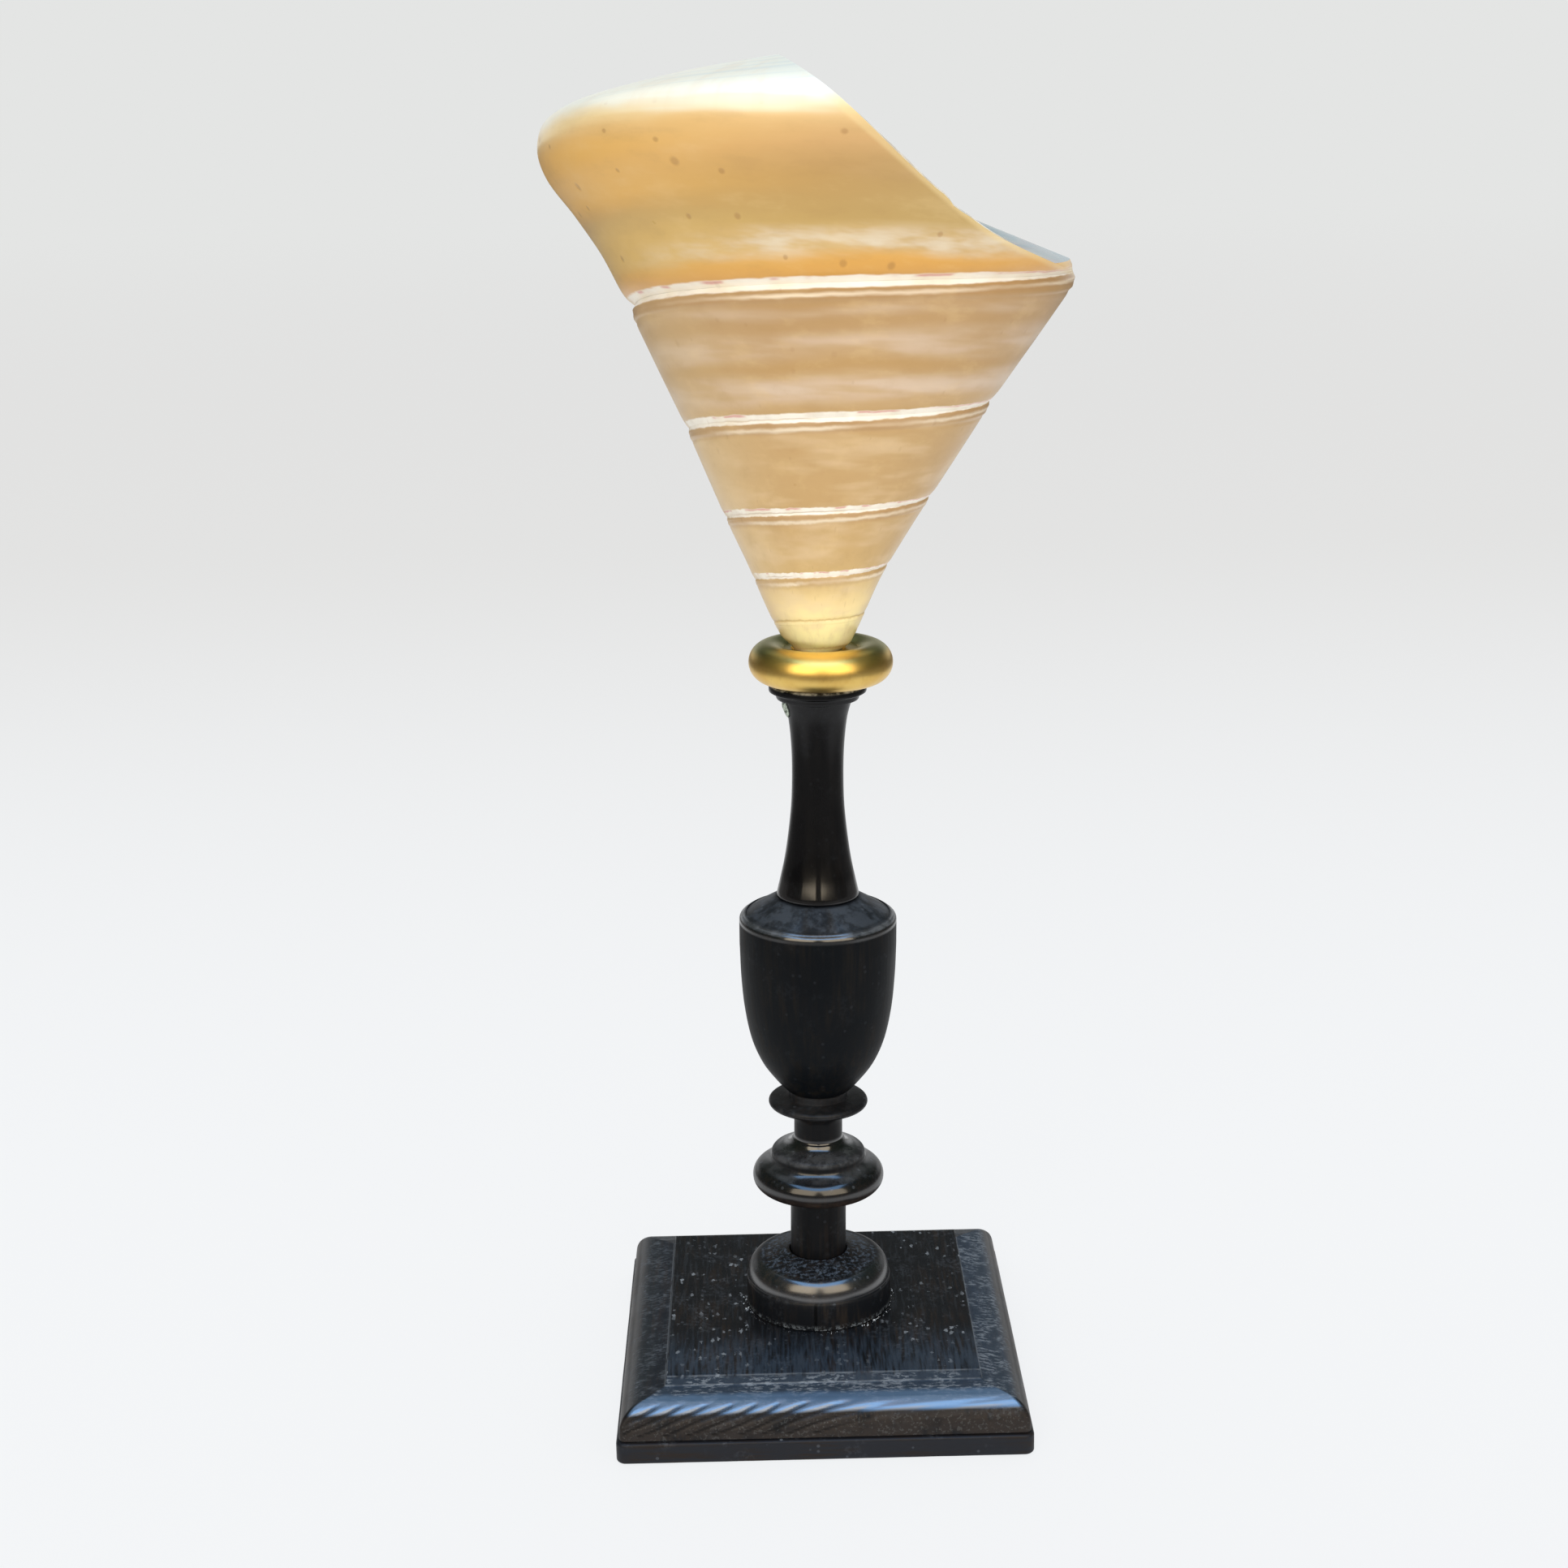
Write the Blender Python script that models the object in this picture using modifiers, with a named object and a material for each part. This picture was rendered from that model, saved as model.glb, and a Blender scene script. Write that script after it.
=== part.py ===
"""Half of a trochus shell, point down in a brass ring, on a turned, ebonised stand with a square plinth.

Metres, +Z up. The origin is the middle of the plinth's underside. The front is -Y: the whole outer side of
the half shell faces it, and the flat cut face of the shell faces the back, +Y.
"""

import math

import bmesh
import bpy
from mathutils import Matrix, Vector

MM = 0.001
GAP = 0.3 * MM  # between touching pieces

# Plinth: a moulded block on a plain board
BOARD_SIDE = 92.8 * MM
BOARD_THICKNESS = 4.9 * MM
BOARD_CORNER = 2.2 * MM
BOARD_EDGE = 0.7 * MM
BLOCK_SIDE = 91.4 * MM
BLOCK_BOTTOM = BOARD_THICKNESS + GAP
BLOCK_TOP = 15.5 * MM
PANEL_SIDE = 70.3 * MM
PANEL_STEP = 2.4 * MM
LAND_DROP = 0.7 * MM
OVOLO_RADIUS = 5.6 * MM
BLOCK_EDGE = 0.35 * MM

# Turned pieces: heights above the floor and radii
FOOT_BOTTOM = BLOCK_TOP + GAP
FOOT_RADIUS = 17.0 * MM
FOOT_CYLINDER_TOP = 22.6 * MM
FOOT_OVOLO_TOP = 27.3 * MM
FOOT_OVOLO_RADIUS = 13.3 * MM
FOOT_TOP = 28.9 * MM
POST_RADIUS = 6.5 * MM
POST_SOCKET_DEPTH = 6.0 * MM
KNOP_BOTTOM = 42.4 * MM
KNOP_MIDDLE = 48.0 * MM
KNOP_RADIUS = 15.3 * MM
KNOP_BEAD = 3.1 * MM
TIER_RADIUS = 10.85 * MM
TIER_BOTTOM = 52.4 * MM
TIER_TOP = 54.6 * MM
WAIST_RADIUS = 5.6 * MM
WAIST_BOTTOM = 57.4 * MM
WAIST_TOP = 61.4 * MM
SAUCER_RADIUS = 11.5 * MM
SAUCER_TOP = 67.6 * MM
SPINDLE_TOP = 69.4 * MM
URN_BOTTOM = SPINDLE_TOP + GAP
URN_FOOT_RADIUS = 7.4 * MM
URN_RADIUS = 17.9 * MM
URN_EDGE = 111.2 * MM
URN_STEP_RADIUS = 16.3 * MM
URN_STEP_TOP = 112.4 * MM
URN_TOP = 116.4 * MM
NECK_BOTTOM = URN_TOP + GAP
NECK_FLARE_RADIUS = 9.3 * MM
NECK_RADIUS = 5.85 * MM
COLLAR_RADIUS = 10.9 * MM
COLLAR_BOTTOM = 162.2 * MM
COLLAR_TOP = 166.0 * MM
RING_BOTTOM = COLLAR_TOP + GAP
RING_RADIUS = 16.0 * MM
RING_TUBE = 4.45 * MM
RING_DISH = 173.8 * MM
RING_OFFSET = 0.7 * MM  # to the right of the collar's middle
TENON_RADIUS = 3.4 * MM
TENON_LENGTH = 6.0 * MM
TURNED_SIDES = 24

# Everything above the foot leans to the right, as the post stands in its socket
STEM_LEAN = math.radians(0.8)
STEM_PIVOT = 26.0 * MM
UPRIGHT = ("plinth_board", "plinth_block", "foot", "foot_socket")

# Shell: a cone whose whorls follow w = SUTURE_SCALE * GROWTH ** t * exp(GROWTH_EASE * t * t) along its axis,
# with t in turns and 0 where the outermost seam meets the right-hand limb
SHELL_POINT = Vector((-3.3, 0.0, 163.4)) * MM
SHELL_TURN = math.radians(-0.7)  # on the stand, seen from above
LEAN_RIGHT = math.radians(4.8)
LEAN_BACK = math.radians(5.2)
HALF_ANGLE = math.radians(27.87)
SUTURE_SCALE = 96.5 * MM
GROWTH = 1.406
GROWTH_EASE = -0.0148
TIP_SHIFT = 4.0 * MM
TIP_REACH = 42.0 * MM
SPIRE_WHORLS = 5
WALL = 2.9 * MM
LIP_WALL = 1.3 * MM
SEAT_DEPTH = 4.6 * MM  # the shell's point ends this far above its cone's apex
FRONT_START, FRONT_END = 165.0, 375.0  # azimuths that run a little past the cut face on each side
CONE = math.tan(HALF_ANGLE)
BASE_SLOPE = math.tan(math.radians(17.0))
BURIED_ROWS = [(-0.085, 0.985), (-0.065, 0.99), (-0.045, 1.0)]  # inner wall, below the older whorls' rim

# The lip's edge, in the front view: it falls to the right, eases off near the seam and has a soft shoulder
LIP_END_X = 54.6 * MM
LIP_END_Z = 254.7 * MM
LIP_SLOPE = 0.42
LIP_STEEPER = 0.42
LIP_BEND_X = 32.0 * MM
LIP_BEND_EASE = 6.0 * MM
LIP_SHOULDER = 1.2 * MM
LIP_SHOULDER_X = 2.0 * MM
LIP_SHOULDER_WIDTH = 10.0 * MM


def clear_scene():
    """Removes every object, so that the script can be run again in an open file."""
    for obj in list(bpy.data.objects):
        bpy.data.objects.remove(obj, do_unlink=True)


def make_collection(name, hidden=False):
    collection = bpy.data.collections.new(name)
    collection.hide_render = hidden
    bpy.context.scene.collection.children.link(collection)
    return collection


def make_material(name, colour, roughness, metallic=0.0):
    material = bpy.data.materials.new(name)
    material.use_nodes = True
    shader = material.node_tree.nodes["Principled BSDF"]
    shader.inputs["Base Color"].default_value = (*colour, 1.0)
    shader.inputs["Roughness"].default_value = roughness
    shader.inputs["Metallic"].default_value = metallic
    return material


def add_object(name, mesh, collection, material=None):
    obj = bpy.data.objects.new(name, mesh)
    collection.objects.link(obj)
    if material is not None:
        mesh.materials.append(material)
    return obj


def as_cutter(obj):
    obj.hide_render = True
    obj.display_type = "WIRE"
    return obj


def boolean(obj, other, operation):
    modifier = obj.modifiers.new(f"{operation.lower()} {other.name}", "BOOLEAN")
    modifier.operation = operation
    modifier.solver = "EXACT"
    modifier.object = other


# --- turned pieces -----------------------------------------------------------------------------------------


def arc(centre, radius, start, end, steps):
    """Points on an arc about centre = (radius from the axis, height), from start to end in degrees."""
    points = []
    for step in range(steps + 1):
        angle = math.radians(start + (end - start) * step / steps)
        points.append((centre[0] + radius * math.cos(angle), centre[1] + radius * math.sin(angle)))
    return points


def smooth(points, steps):
    """A Catmull-Rom curve through the points, with this many steps between two of them."""
    ends = [Vector(point) for point in points]
    ends = [2 * ends[0] - ends[1], *ends, 2 * ends[-1] - ends[-2]]
    curve = []
    for before, here, there, after in zip(ends, ends[1:], ends[2:], ends[3:]):
        for step in range(steps):
            s = step / steps
            curve.append(
                0.5
                * (
                    2 * here
                    + (there - before) * s
                    + (2 * before - 5 * here + 4 * there - after) * s**2
                    + (3 * here - before - 3 * there + after) * s**3
                )
            )
    curve.append(ends[-2])
    return [tuple(point) for point in curve]


def turned(name, profile, collection, material, sides=TURNED_SIDES):
    """Turns a profile of (radius, height) points, from the axis at the top down the outer side to the axis."""
    mesh = bpy.data.meshes.new(name)
    edges = [(i, i + 1) for i in range(len(profile) - 1)]
    mesh.from_pydata([(radius, 0.0, height) for radius, height in profile], edges, [])
    obj = add_object(name, mesh, collection, material)
    screw = obj.modifiers.new("turn", "SCREW")
    screw.axis = "Z"
    screw.angle = math.tau
    screw.steps = sides
    screw.render_steps = sides
    screw.use_merge_vertices = True
    screw.merge_threshold = 0.01 * MM
    screw.use_smooth_shade = True
    return obj


def socket(depth, radius, top):
    """The start of a profile: the floor and the wall of a blind hole that takes a tenon."""
    return [(0.0, top - depth - GAP), (radius + GAP, top - depth - GAP), (radius + GAP, top)]


def tenon(bottom):
    """The end of a profile: a tenon below the shoulder at this height."""
    return [(TENON_RADIUS, bottom), (TENON_RADIUS, bottom - TENON_LENGTH), (0.0, bottom - TENON_LENGTH)]


def build_foot(collection, material):
    drop = FOOT_OVOLO_TOP - FOOT_CYLINDER_TOP
    profile = socket(POST_SOCKET_DEPTH, POST_RADIUS, FOOT_TOP)
    for step in range(5):
        angle = math.radians(90 - 90 * step / 4)
        width = FOOT_RADIUS - 0.3 * MM - FOOT_OVOLO_RADIUS
        profile.append(
            (FOOT_OVOLO_RADIUS + width * math.cos(angle), FOOT_CYLINDER_TOP + drop * math.sin(angle))
        )
    profile += [(FOOT_RADIUS, FOOT_CYLINDER_TOP - 0.4 * MM), (FOOT_RADIUS, FOOT_BOTTOM)]
    return turned("foot", profile + tenon(FOOT_BOTTOM), collection, material)


def build_spindle(collection, material):
    """The post, the knop with its upper tier, the waist and the saucer, all turned in one piece."""
    knop_centre = (KNOP_RADIUS - KNOP_BEAD, KNOP_MIDDLE)
    cove = SAUCER_TOP - 2.1 * MM - WAIST_TOP
    profile = socket(TENON_LENGTH, TENON_RADIUS, SPINDLE_TOP)
    profile += [(6.8 * MM, SPINDLE_TOP), (6.8 * MM, SAUCER_TOP)]
    profile += [(SAUCER_RADIUS - 0.5 * MM, SAUCER_TOP - 0.4 * MM)]
    profile += arc((SAUCER_RADIUS - 0.8 * MM, SAUCER_TOP - 1.2 * MM), 0.8 * MM, 50, -60, 2)
    profile += arc((WAIST_RADIUS + cove, WAIST_TOP), cove, 100, 180, 4)
    profile += [(WAIST_RADIUS, WAIST_BOTTOM)]
    profile += arc((TIER_RADIUS - 1.6 * MM, WAIST_BOTTOM + 1.4 * MM), 3.6 * MM, 208, 262, 2)
    profile += [(TIER_RADIUS - 0.5 * MM, TIER_TOP), (TIER_RADIUS, TIER_TOP - 0.6 * MM)]
    profile += [(TIER_RADIUS, TIER_BOTTOM), (TIER_RADIUS + 0.6 * MM, TIER_BOTTOM - 0.6 * MM)]
    profile += arc(knop_centre, KNOP_BEAD, 68, -78, 7)
    profile += [(POST_RADIUS + 2.2 * MM, KNOP_BOTTOM + 0.9 * MM), (POST_RADIUS, KNOP_BOTTOM)]
    profile += [(POST_RADIUS, FOOT_TOP - POST_SOCKET_DEPTH), (0.0, FOOT_TOP - POST_SOCKET_DEPTH)]
    return turned("spindle", profile, collection, material)


def build_urn(collection, material):
    belly = [
        (URN_RADIUS, URN_EDGE - 6.0 * MM),
        (17.6 * MM, 97.5 * MM),
        (16.85 * MM, 89.7 * MM),
        (15.4 * MM, 82.6 * MM),
        (13.1 * MM, 77.0 * MM),
        (10.0 * MM, 72.6 * MM),
        (URN_FOOT_RADIUS, URN_BOTTOM),
    ]
    profile = socket(TENON_LENGTH, TENON_RADIUS, URN_TOP)
    profile += smooth([(9.6 * MM, URN_TOP), (13.2 * MM, 114.3 * MM), (URN_STEP_RADIUS, URN_STEP_TOP)], 2)
    profile += [(URN_STEP_RADIUS, URN_EDGE + 1.5 * MM), (URN_RADIUS - 1.1 * MM, URN_EDGE + 1.2 * MM)]
    profile += arc((URN_RADIUS - 1.2 * MM, URN_EDGE - 0.2 * MM), 1.2 * MM, 75, 0, 3)
    profile += smooth(belly, 2)
    return turned("urn", profile + tenon(URN_BOTTOM), collection, material)


def build_neck(collection, material):
    """The slim neck: it flares at its foot and spreads to a stepped collar under the ring."""
    sides = [
        (7.6 * MM, COLLAR_BOTTOM),
        (6.5 * MM, 157.6 * MM),
        (NECK_RADIUS, 150.0 * MM),
        (NECK_RADIUS, 141.0 * MM),
        (6.35 * MM, 134.0 * MM),
        (7.5 * MM, 125.5 * MM),
        (NECK_FLARE_RADIUS, NECK_BOTTOM + 0.6 * MM),
    ]
    profile = [(0.0, COLLAR_TOP), (COLLAR_RADIUS - 0.4 * MM, COLLAR_TOP)]
    profile += [(COLLAR_RADIUS, COLLAR_TOP - 0.5 * MM), (COLLAR_RADIUS, COLLAR_TOP - 1.8 * MM)]
    profile += [(9.4 * MM, COLLAR_TOP - 2.2 * MM), (9.2 * MM, COLLAR_BOTTOM + 0.3 * MM)]
    profile += smooth(sides, 2)
    profile += [(NECK_FLARE_RADIUS, NECK_BOTTOM)]
    return turned("neck", profile + tenon(NECK_BOTTOM), collection, material)


def build_ring(collection, material):
    """A fat brass ring with a dished middle. The seat for the shell's point is cut into it afterwards."""
    centre = (RING_RADIUS - RING_TUBE, RING_BOTTOM + RING_TUBE)
    inner = math.degrees(math.asin((RING_DISH - centre[1]) / RING_TUBE))
    profile = [(0.0, RING_DISH)]
    profile += arc(centre, RING_TUBE, 180 - inner, -90, 12)
    profile += [(0.0, RING_BOTTOM)]
    ring = turned("brass_ring", profile, collection, material)
    ring.location.x = RING_OFFSET
    return ring


# --- plinth ------------------------------------------------------------------------------------------------


def build_board(collection, material):
    mesh = bpy.data.meshes.new("plinth_board")
    shape = bmesh.new()
    bmesh.ops.create_cube(shape, size=1.0)
    bmesh.ops.scale(shape, vec=(BOARD_SIDE, BOARD_SIDE, BOARD_THICKNESS), verts=shape.verts)
    bmesh.ops.translate(shape, vec=(0.0, 0.0, BOARD_THICKNESS / 2), verts=shape.verts)
    corners = [edge for edge in shape.edges if abs(edge.verts[0].co.z - edge.verts[1].co.z) > MM]
    bmesh.ops.bevel(shape, geom=corners, offset=BOARD_CORNER, segments=4, affect="EDGES", profile=0.5)
    shape.to_mesh(mesh)
    shape.free()
    obj = add_object("plinth_board", mesh, collection, material)
    bevel = obj.modifiers.new("edges", "BEVEL")
    bevel.width = BOARD_EDGE
    bevel.segments = 2
    bevel.limit_method = "ANGLE"
    bevel.angle_limit = math.radians(60)
    return obj


def build_block(collection, cutters, material):
    """The moulded block: a profile turned in four steps, so that its corners are mitred."""
    half = PANEL_SIDE / 2
    land_z = BLOCK_TOP - PANEL_STEP
    ovolo_z = land_z - LAND_DROP
    ovolo_x = BLOCK_SIDE / 2 - OVOLO_RADIUS
    profile = [(0.0, BLOCK_TOP), (half, BLOCK_TOP), (half + 0.4 * MM, land_z)]
    profile += arc((ovolo_x, ovolo_z - OVOLO_RADIUS), OVOLO_RADIUS, 90, 4, 5)
    profile += [(BLOCK_SIDE / 2, BLOCK_BOTTOM), (0.0, BLOCK_BOTTOM)]
    corner_profile = [(x * math.sqrt(2), z) for x, z in profile]
    obj = turned("plinth_block", corner_profile, collection, material, sides=4)
    obj.modifiers["turn"].use_smooth_shade = False
    obj.rotation_euler.z = math.radians(45)
    bevel = obj.modifiers.new("edges", "BEVEL")
    bevel.width = BLOCK_EDGE
    bevel.segments = 1
    bevel.limit_method = "ANGLE"
    bevel.angle_limit = math.radians(55)
    hole = [(0.0, BLOCK_TOP + MM), (TENON_RADIUS + GAP, BLOCK_TOP + MM)]
    floor = FOOT_BOTTOM - TENON_LENGTH - GAP
    hole += [(TENON_RADIUS + GAP, floor), (0.0, floor)]
    boolean(obj, as_cutter(turned("foot_socket", hole, cutters, None)), "DIFFERENCE")
    return obj


# --- shell -------------------------------------------------------------------------------------------------


def shell_axes():
    """The shell's axis, and its sideways (right) and backward directions."""
    axis = Vector((math.sin(LEAN_RIGHT), math.sin(LEAN_BACK), 0.0))
    axis.z = math.sqrt(1 - axis.length_squared)
    right = Vector((0, 1, 0)).cross(axis).normalized()
    return axis, right, axis.cross(right)


AXIS, RIGHT, BACK = shell_axes()
TURN = Matrix.Rotation(SHELL_TURN, 3, "Z")


def suture(turns):
    """Distance of the seam from the cone's apex, along the axis."""
    return SUTURE_SCALE * GROWTH**turns * math.exp(GROWTH_EASE * turns * turns)


def place(radius, along, azimuth):
    """A point of the shell: azimuth 180 is the left limb, 270 the front and 360 the right limb."""
    angle = math.radians(azimuth)
    shift = TIP_SHIFT * max(0.0, 1 - along / TIP_REACH) ** 2
    outward = math.cos(angle) * RIGHT + math.sin(angle) * BACK
    point = SHELL_POINT + along * AXIS + radius * outward + Vector((shift, 0.0, 0.0))
    return TURN @ point


def fade(value, low, high):
    """A smooth step from 0 at low to 1 at high."""
    s = min(1.0, max(0.0, (value - low) / (high - low)))
    return s * s * (3 - 2 * s)


def spire_section(azimuth):
    """(radius, distance) points up the older whorls' outer side and over the last one's base to the axis."""
    turns = azimuth / 360 - 1
    points = [(CONE * SEAT_DEPTH, SEAT_DEPTH)]
    for whorl in range(SPIRE_WHORLS, 0, -1):
        low, high = suture(turns - whorl), suture(turns - whorl + 1)
        bulge = high * (0.004 + 0.012 * fade(turns - whorl + 1, -1.05, -0.55))
        groove = 0.0 if whorl == SPIRE_WHORLS else 0.007 * low
        points.append((CONE * low - groove, low))
        points.append((CONE * (low + 0.1 * (high - low)) + 0.004 * low, low + 0.1 * (high - low)))
        points.append((CONE * (low + 0.82 * (high - low)) + bulge, low + 0.82 * (high - low)))
    rim = suture(turns)
    points.append(((CONE - 0.006) * rim, rim))
    points.append(((CONE - 0.014) * rim, 1.023 * rim))
    for radius in (0.46, 0.28, 0.09):
        points.append((radius * rim, rim * (1.023 + (CONE - 0.014 - radius) * BASE_SLOPE)))
    return points


def blend_sections(first, second, share):
    return [
        (a[0] + (b[0] - a[0]) * share, a[1] + (b[1] - a[1]) * share) for a, b in zip(first, second)
    ]


def mesh_from_rings(name, rings, caps):
    """Quads between neighbouring rings of points; the caps are single points or flat ends."""
    mesh = bpy.data.meshes.new(name)
    shape = bmesh.new()
    made = [[shape.verts.new(point) for point in ring] for ring in rings]
    count = len(rings[0])
    for ring, following in zip(made, made[1:]):
        for i in range(count):
            after = (i + 1) % count
            shape.faces.new((ring[i], ring[after], following[after], following[i]))
    for ring, cap in zip((made[0], made[-1]), caps):
        if cap == "strip":
            for i in range(count // 2 - 1):
                shape.faces.new((ring[i], ring[i + 1], ring[count - 2 - i], ring[count - 1 - i]))
        else:
            pole = shape.verts.new(cap)
            for i in range(count):
                shape.faces.new((ring[i], ring[(i + 1) % count], pole))
    bmesh.ops.recalc_face_normals(shape, faces=shape.faces)
    for face in shape.faces:
        face.smooth = True
    shape.to_mesh(mesh)
    shape.free()
    return mesh


def build_spire_mesh(name):
    """The older whorls as one solid. Behind the cut face the two ends of the spiral are simply joined."""
    azimuths = [FRONT_START + (FRONT_END - FRONT_START) * i / 26 for i in range(27)]
    sections = [spire_section(azimuth) for azimuth in azimuths]
    for share in (0.25, 0.5, 0.75):
        azimuths.append(FRONT_END + (FRONT_START + 360 - FRONT_END) * share)
        sections.append(blend_sections(sections[26], sections[0], share))
    rings = []
    for j in range(len(sections[0])):
        rings.append([place(*section[j], azimuth) for section, azimuth in zip(sections, azimuths)])
    bottom = place(0.0, SEAT_DEPTH, 270)
    top = sum((Vector(point) for point in rings[-1]), Vector()) / len(rings[-1])
    return mesh_from_rings(name, rings, (bottom, top))


def last_whorl_outline(azimuth):
    """(radius, distance) points of the last whorl's outer side: seam, flank, keel, and base to the pillar."""
    seam = suture(azimuth / 360 - 1)
    rise = 1.05 - 0.05 * fade(azimuth, 180, 255)
    outline = [
        (CONE - 0.004, 1.0),
        (CONE * 1.03 + 0.018, 1.03),
        (CONE * 1.12 + 0.032, 1.12),
        (CONE * 1.21 + 0.062, 1.21),
        (CONE * 1.29 + 0.095, 1.29),
        (CONE * 1.36 + 0.083, 1.36),
        (CONE * 1.42 + 0.020, 1.42),
        (0.63, 1.475),
        (0.46, 1.52),
        (0.29, 1.535),
        (0.15, 1.50),
        (0.05, 1.45),
    ]
    return [(radius * seam, (1 + (along - 1) * rise) * seam) for radius, along in smooth(outline, 2)]


def inside_of(outline, seam, wall):
    """The same outline moved inward by the wall, running into the older whorls at its first point."""
    points = [Vector(point) for point in outline]
    moved = []
    for i, here in enumerate(points):
        along = points[min(i + 1, len(points) - 1)] - points[max(i - 1, 0)]
        inward = Vector((-along.y, along.x)).normalized()
        moved.append(tuple(here + wall * inward))
    for row, (radius, along) in enumerate(BURIED_ROWS):
        moved[row] = ((CONE + radius) * seam, along * seam)
    return moved


def lip_height(x):
    """Height of the lip's edge over a place across the front."""
    bend = LIP_BEND_X - x
    eased = 0.5 * (bend + math.sqrt(bend * bend + LIP_BEND_EASE * LIP_BEND_EASE))
    shoulder = LIP_SHOULDER * math.exp(-(((x - LIP_SHOULDER_X) / LIP_SHOULDER_WIDTH) ** 2))
    return LIP_END_Z + LIP_SLOPE * (LIP_END_X - x) + LIP_STEEPER * eased + shoulder


def lip_azimuth(row):
    """Where this row of the last whorl's outline reaches the lip, going round with the growth."""
    low, high = 185.0, 357.0
    for _ in range(30):
        middle = (low + high) / 2
        point = place(*last_whorl_outline(middle)[row], middle)
        if point.z < lip_height(point.x):
            low = middle
        else:
            high = middle
    return low


def build_last_whorl_mesh(name):
    """The last whorl's wall, from behind the left limb round to the oblique lip."""
    rows = len(last_whorl_outline(270))
    ends = [lip_azimuth(row) for row in range(rows)]
    columns = 15
    rings = []
    for column in range(columns + 1):
        share = column / columns
        wall = WALL + (LIP_WALL - WALL) * fade(share, 0.8, 1.0)
        outer, inner = [], []
        for row in range(rows):
            azimuth = FRONT_START + (ends[row] - FRONT_START) * share
            outline = last_whorl_outline(azimuth)
            seam = suture(azimuth / 360 - 1)
            outer.append(place(*outline[row], azimuth))
            inner.append(place(*inside_of(outline, seam, wall)[row], azimuth))
        buried = place((CONE - 0.05) * seam, 0.975 * seam, azimuth)
        outer[0] = outer[0].lerp(buried, 0.02)
        rings.append(outer + inner[::-1])
    return mesh_from_rings(name, rings, ("strip", "strip"))


def build_pillar_mesh(name):
    """The columella between the last whorl's base and the older whorls."""
    levels = [(5.6, 70.0), (5.2, 92.0), (5.0, 105.0), (5.6, 114.0), (5.2, 118.0), (3.4, 120.2)]
    rings = []
    for radius, along in levels:
        rings.append([place(radius * MM, along * MM, 360 * i / 12) for i in range(12)])
    return mesh_from_rings(name, rings, (place(0, 66 * MM, 0), place(0, 120.8 * MM, 0)))


def chamber_section(low, high):
    """The hollow of one older whorl between two seams: a rounded, slanting box off the axis."""
    wall = WALL * (high / SUTURE_SCALE) ** 0.6
    inner = 0.5 * wall + 0.07 * high

    def corner(seam, radius, offset):
        return Vector((radius, seam + (CONE * seam - radius) * BASE_SLOPE + offset))

    floor_outer = CONE * low + 0.1 * (high - low) - wall
    roof_outer = CONE * (high - 0.9 * wall) - wall
    corners = [
        corner(low, inner, 0.45 * wall),
        corner(low, floor_outer, 0.45 * wall),
        corner(high, roof_outer, -0.75 * wall),
        corner(high, inner * 1.1, -0.9 * wall),
    ]
    cut = []
    for here, there in zip(corners, corners[1:] + corners[:1]):
        cut += [here.lerp(there, 0.18), here.lerp(there, 0.82)]
    return cut


def build_chamber_mesh(name, whorl):
    """The cutter of one older whorl's hollow, a half turn long and open at both cut ends."""
    rings = []
    columns = 12
    for column in range(columns + 1):
        azimuth = FRONT_START + (FRONT_END - FRONT_START) * column / columns
        turns = azimuth / 360 - 1 - whorl
        section = chamber_section(suture(turns), suture(turns + 1))
        rings.append([place(*point, azimuth) for point in section])
    ends = [sum((Vector(point) for point in ring), Vector()) / len(ring) for ring in (rings[0], rings[-1])]
    return mesh_from_rings(name, rings, ends)


def half_space(name, collection, offset):
    """A block whose front face is the shell's cut plane, moved back by offset."""
    size = 400 * MM
    mesh = bpy.data.meshes.new(name)
    shape = bmesh.new()
    bmesh.ops.create_cube(shape, size=size)
    frame = Matrix((RIGHT, BACK, AXIS)).transposed().to_4x4()
    frame.translation = SHELL_POINT + (offset + size / 2) * BACK
    bmesh.ops.transform(shape, matrix=TURN.to_4x4() @ frame, verts=shape.verts)
    shape.to_mesh(mesh)
    shape.free()
    return as_cutter(add_object(name, mesh, collection))


def build_shell(collection, cutters, material):
    shell = add_object("shell_half", build_spire_mesh("shell_half"), collection, material)
    for name, maker in (("last_whorl", build_last_whorl_mesh), ("pillar", build_pillar_mesh)):
        boolean(shell, as_cutter(add_object(name, maker(name), cutters)), "UNION")
    for whorl in range(1, 5):
        name = f"chamber_{whorl}"
        cutter = as_cutter(add_object(name, build_chamber_mesh(name, whorl), cutters))
        boolean(shell, cutter, "DIFFERENCE")
    boolean(shell, half_space("behind_cut_face", cutters, 0.0), "DIFFERENCE")
    return shell


def seat_ring(ring, cutters):
    """Cuts the seat of the shell's point into the ring: half a cone, flat at the back."""
    rings = []
    for along in (SEAT_DEPTH - GAP, 8 * MM, 13 * MM, 20 * MM):
        radius = CONE * along + 2 * GAP
        rings.append([place(radius, along, 360 * i / TURNED_SIDES) for i in range(TURNED_SIDES)])
    ends = (place(0, SEAT_DEPTH - 2 * GAP, 0), place(0, 20.5 * MM, 0))
    seat = as_cutter(add_object("point_seat", mesh_from_rings("point_seat", rings, ends), cutters))
    boolean(seat, half_space("behind_seat", cutters, GAP), "DIFFERENCE")
    boolean(ring, seat, "DIFFERENCE")


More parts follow.
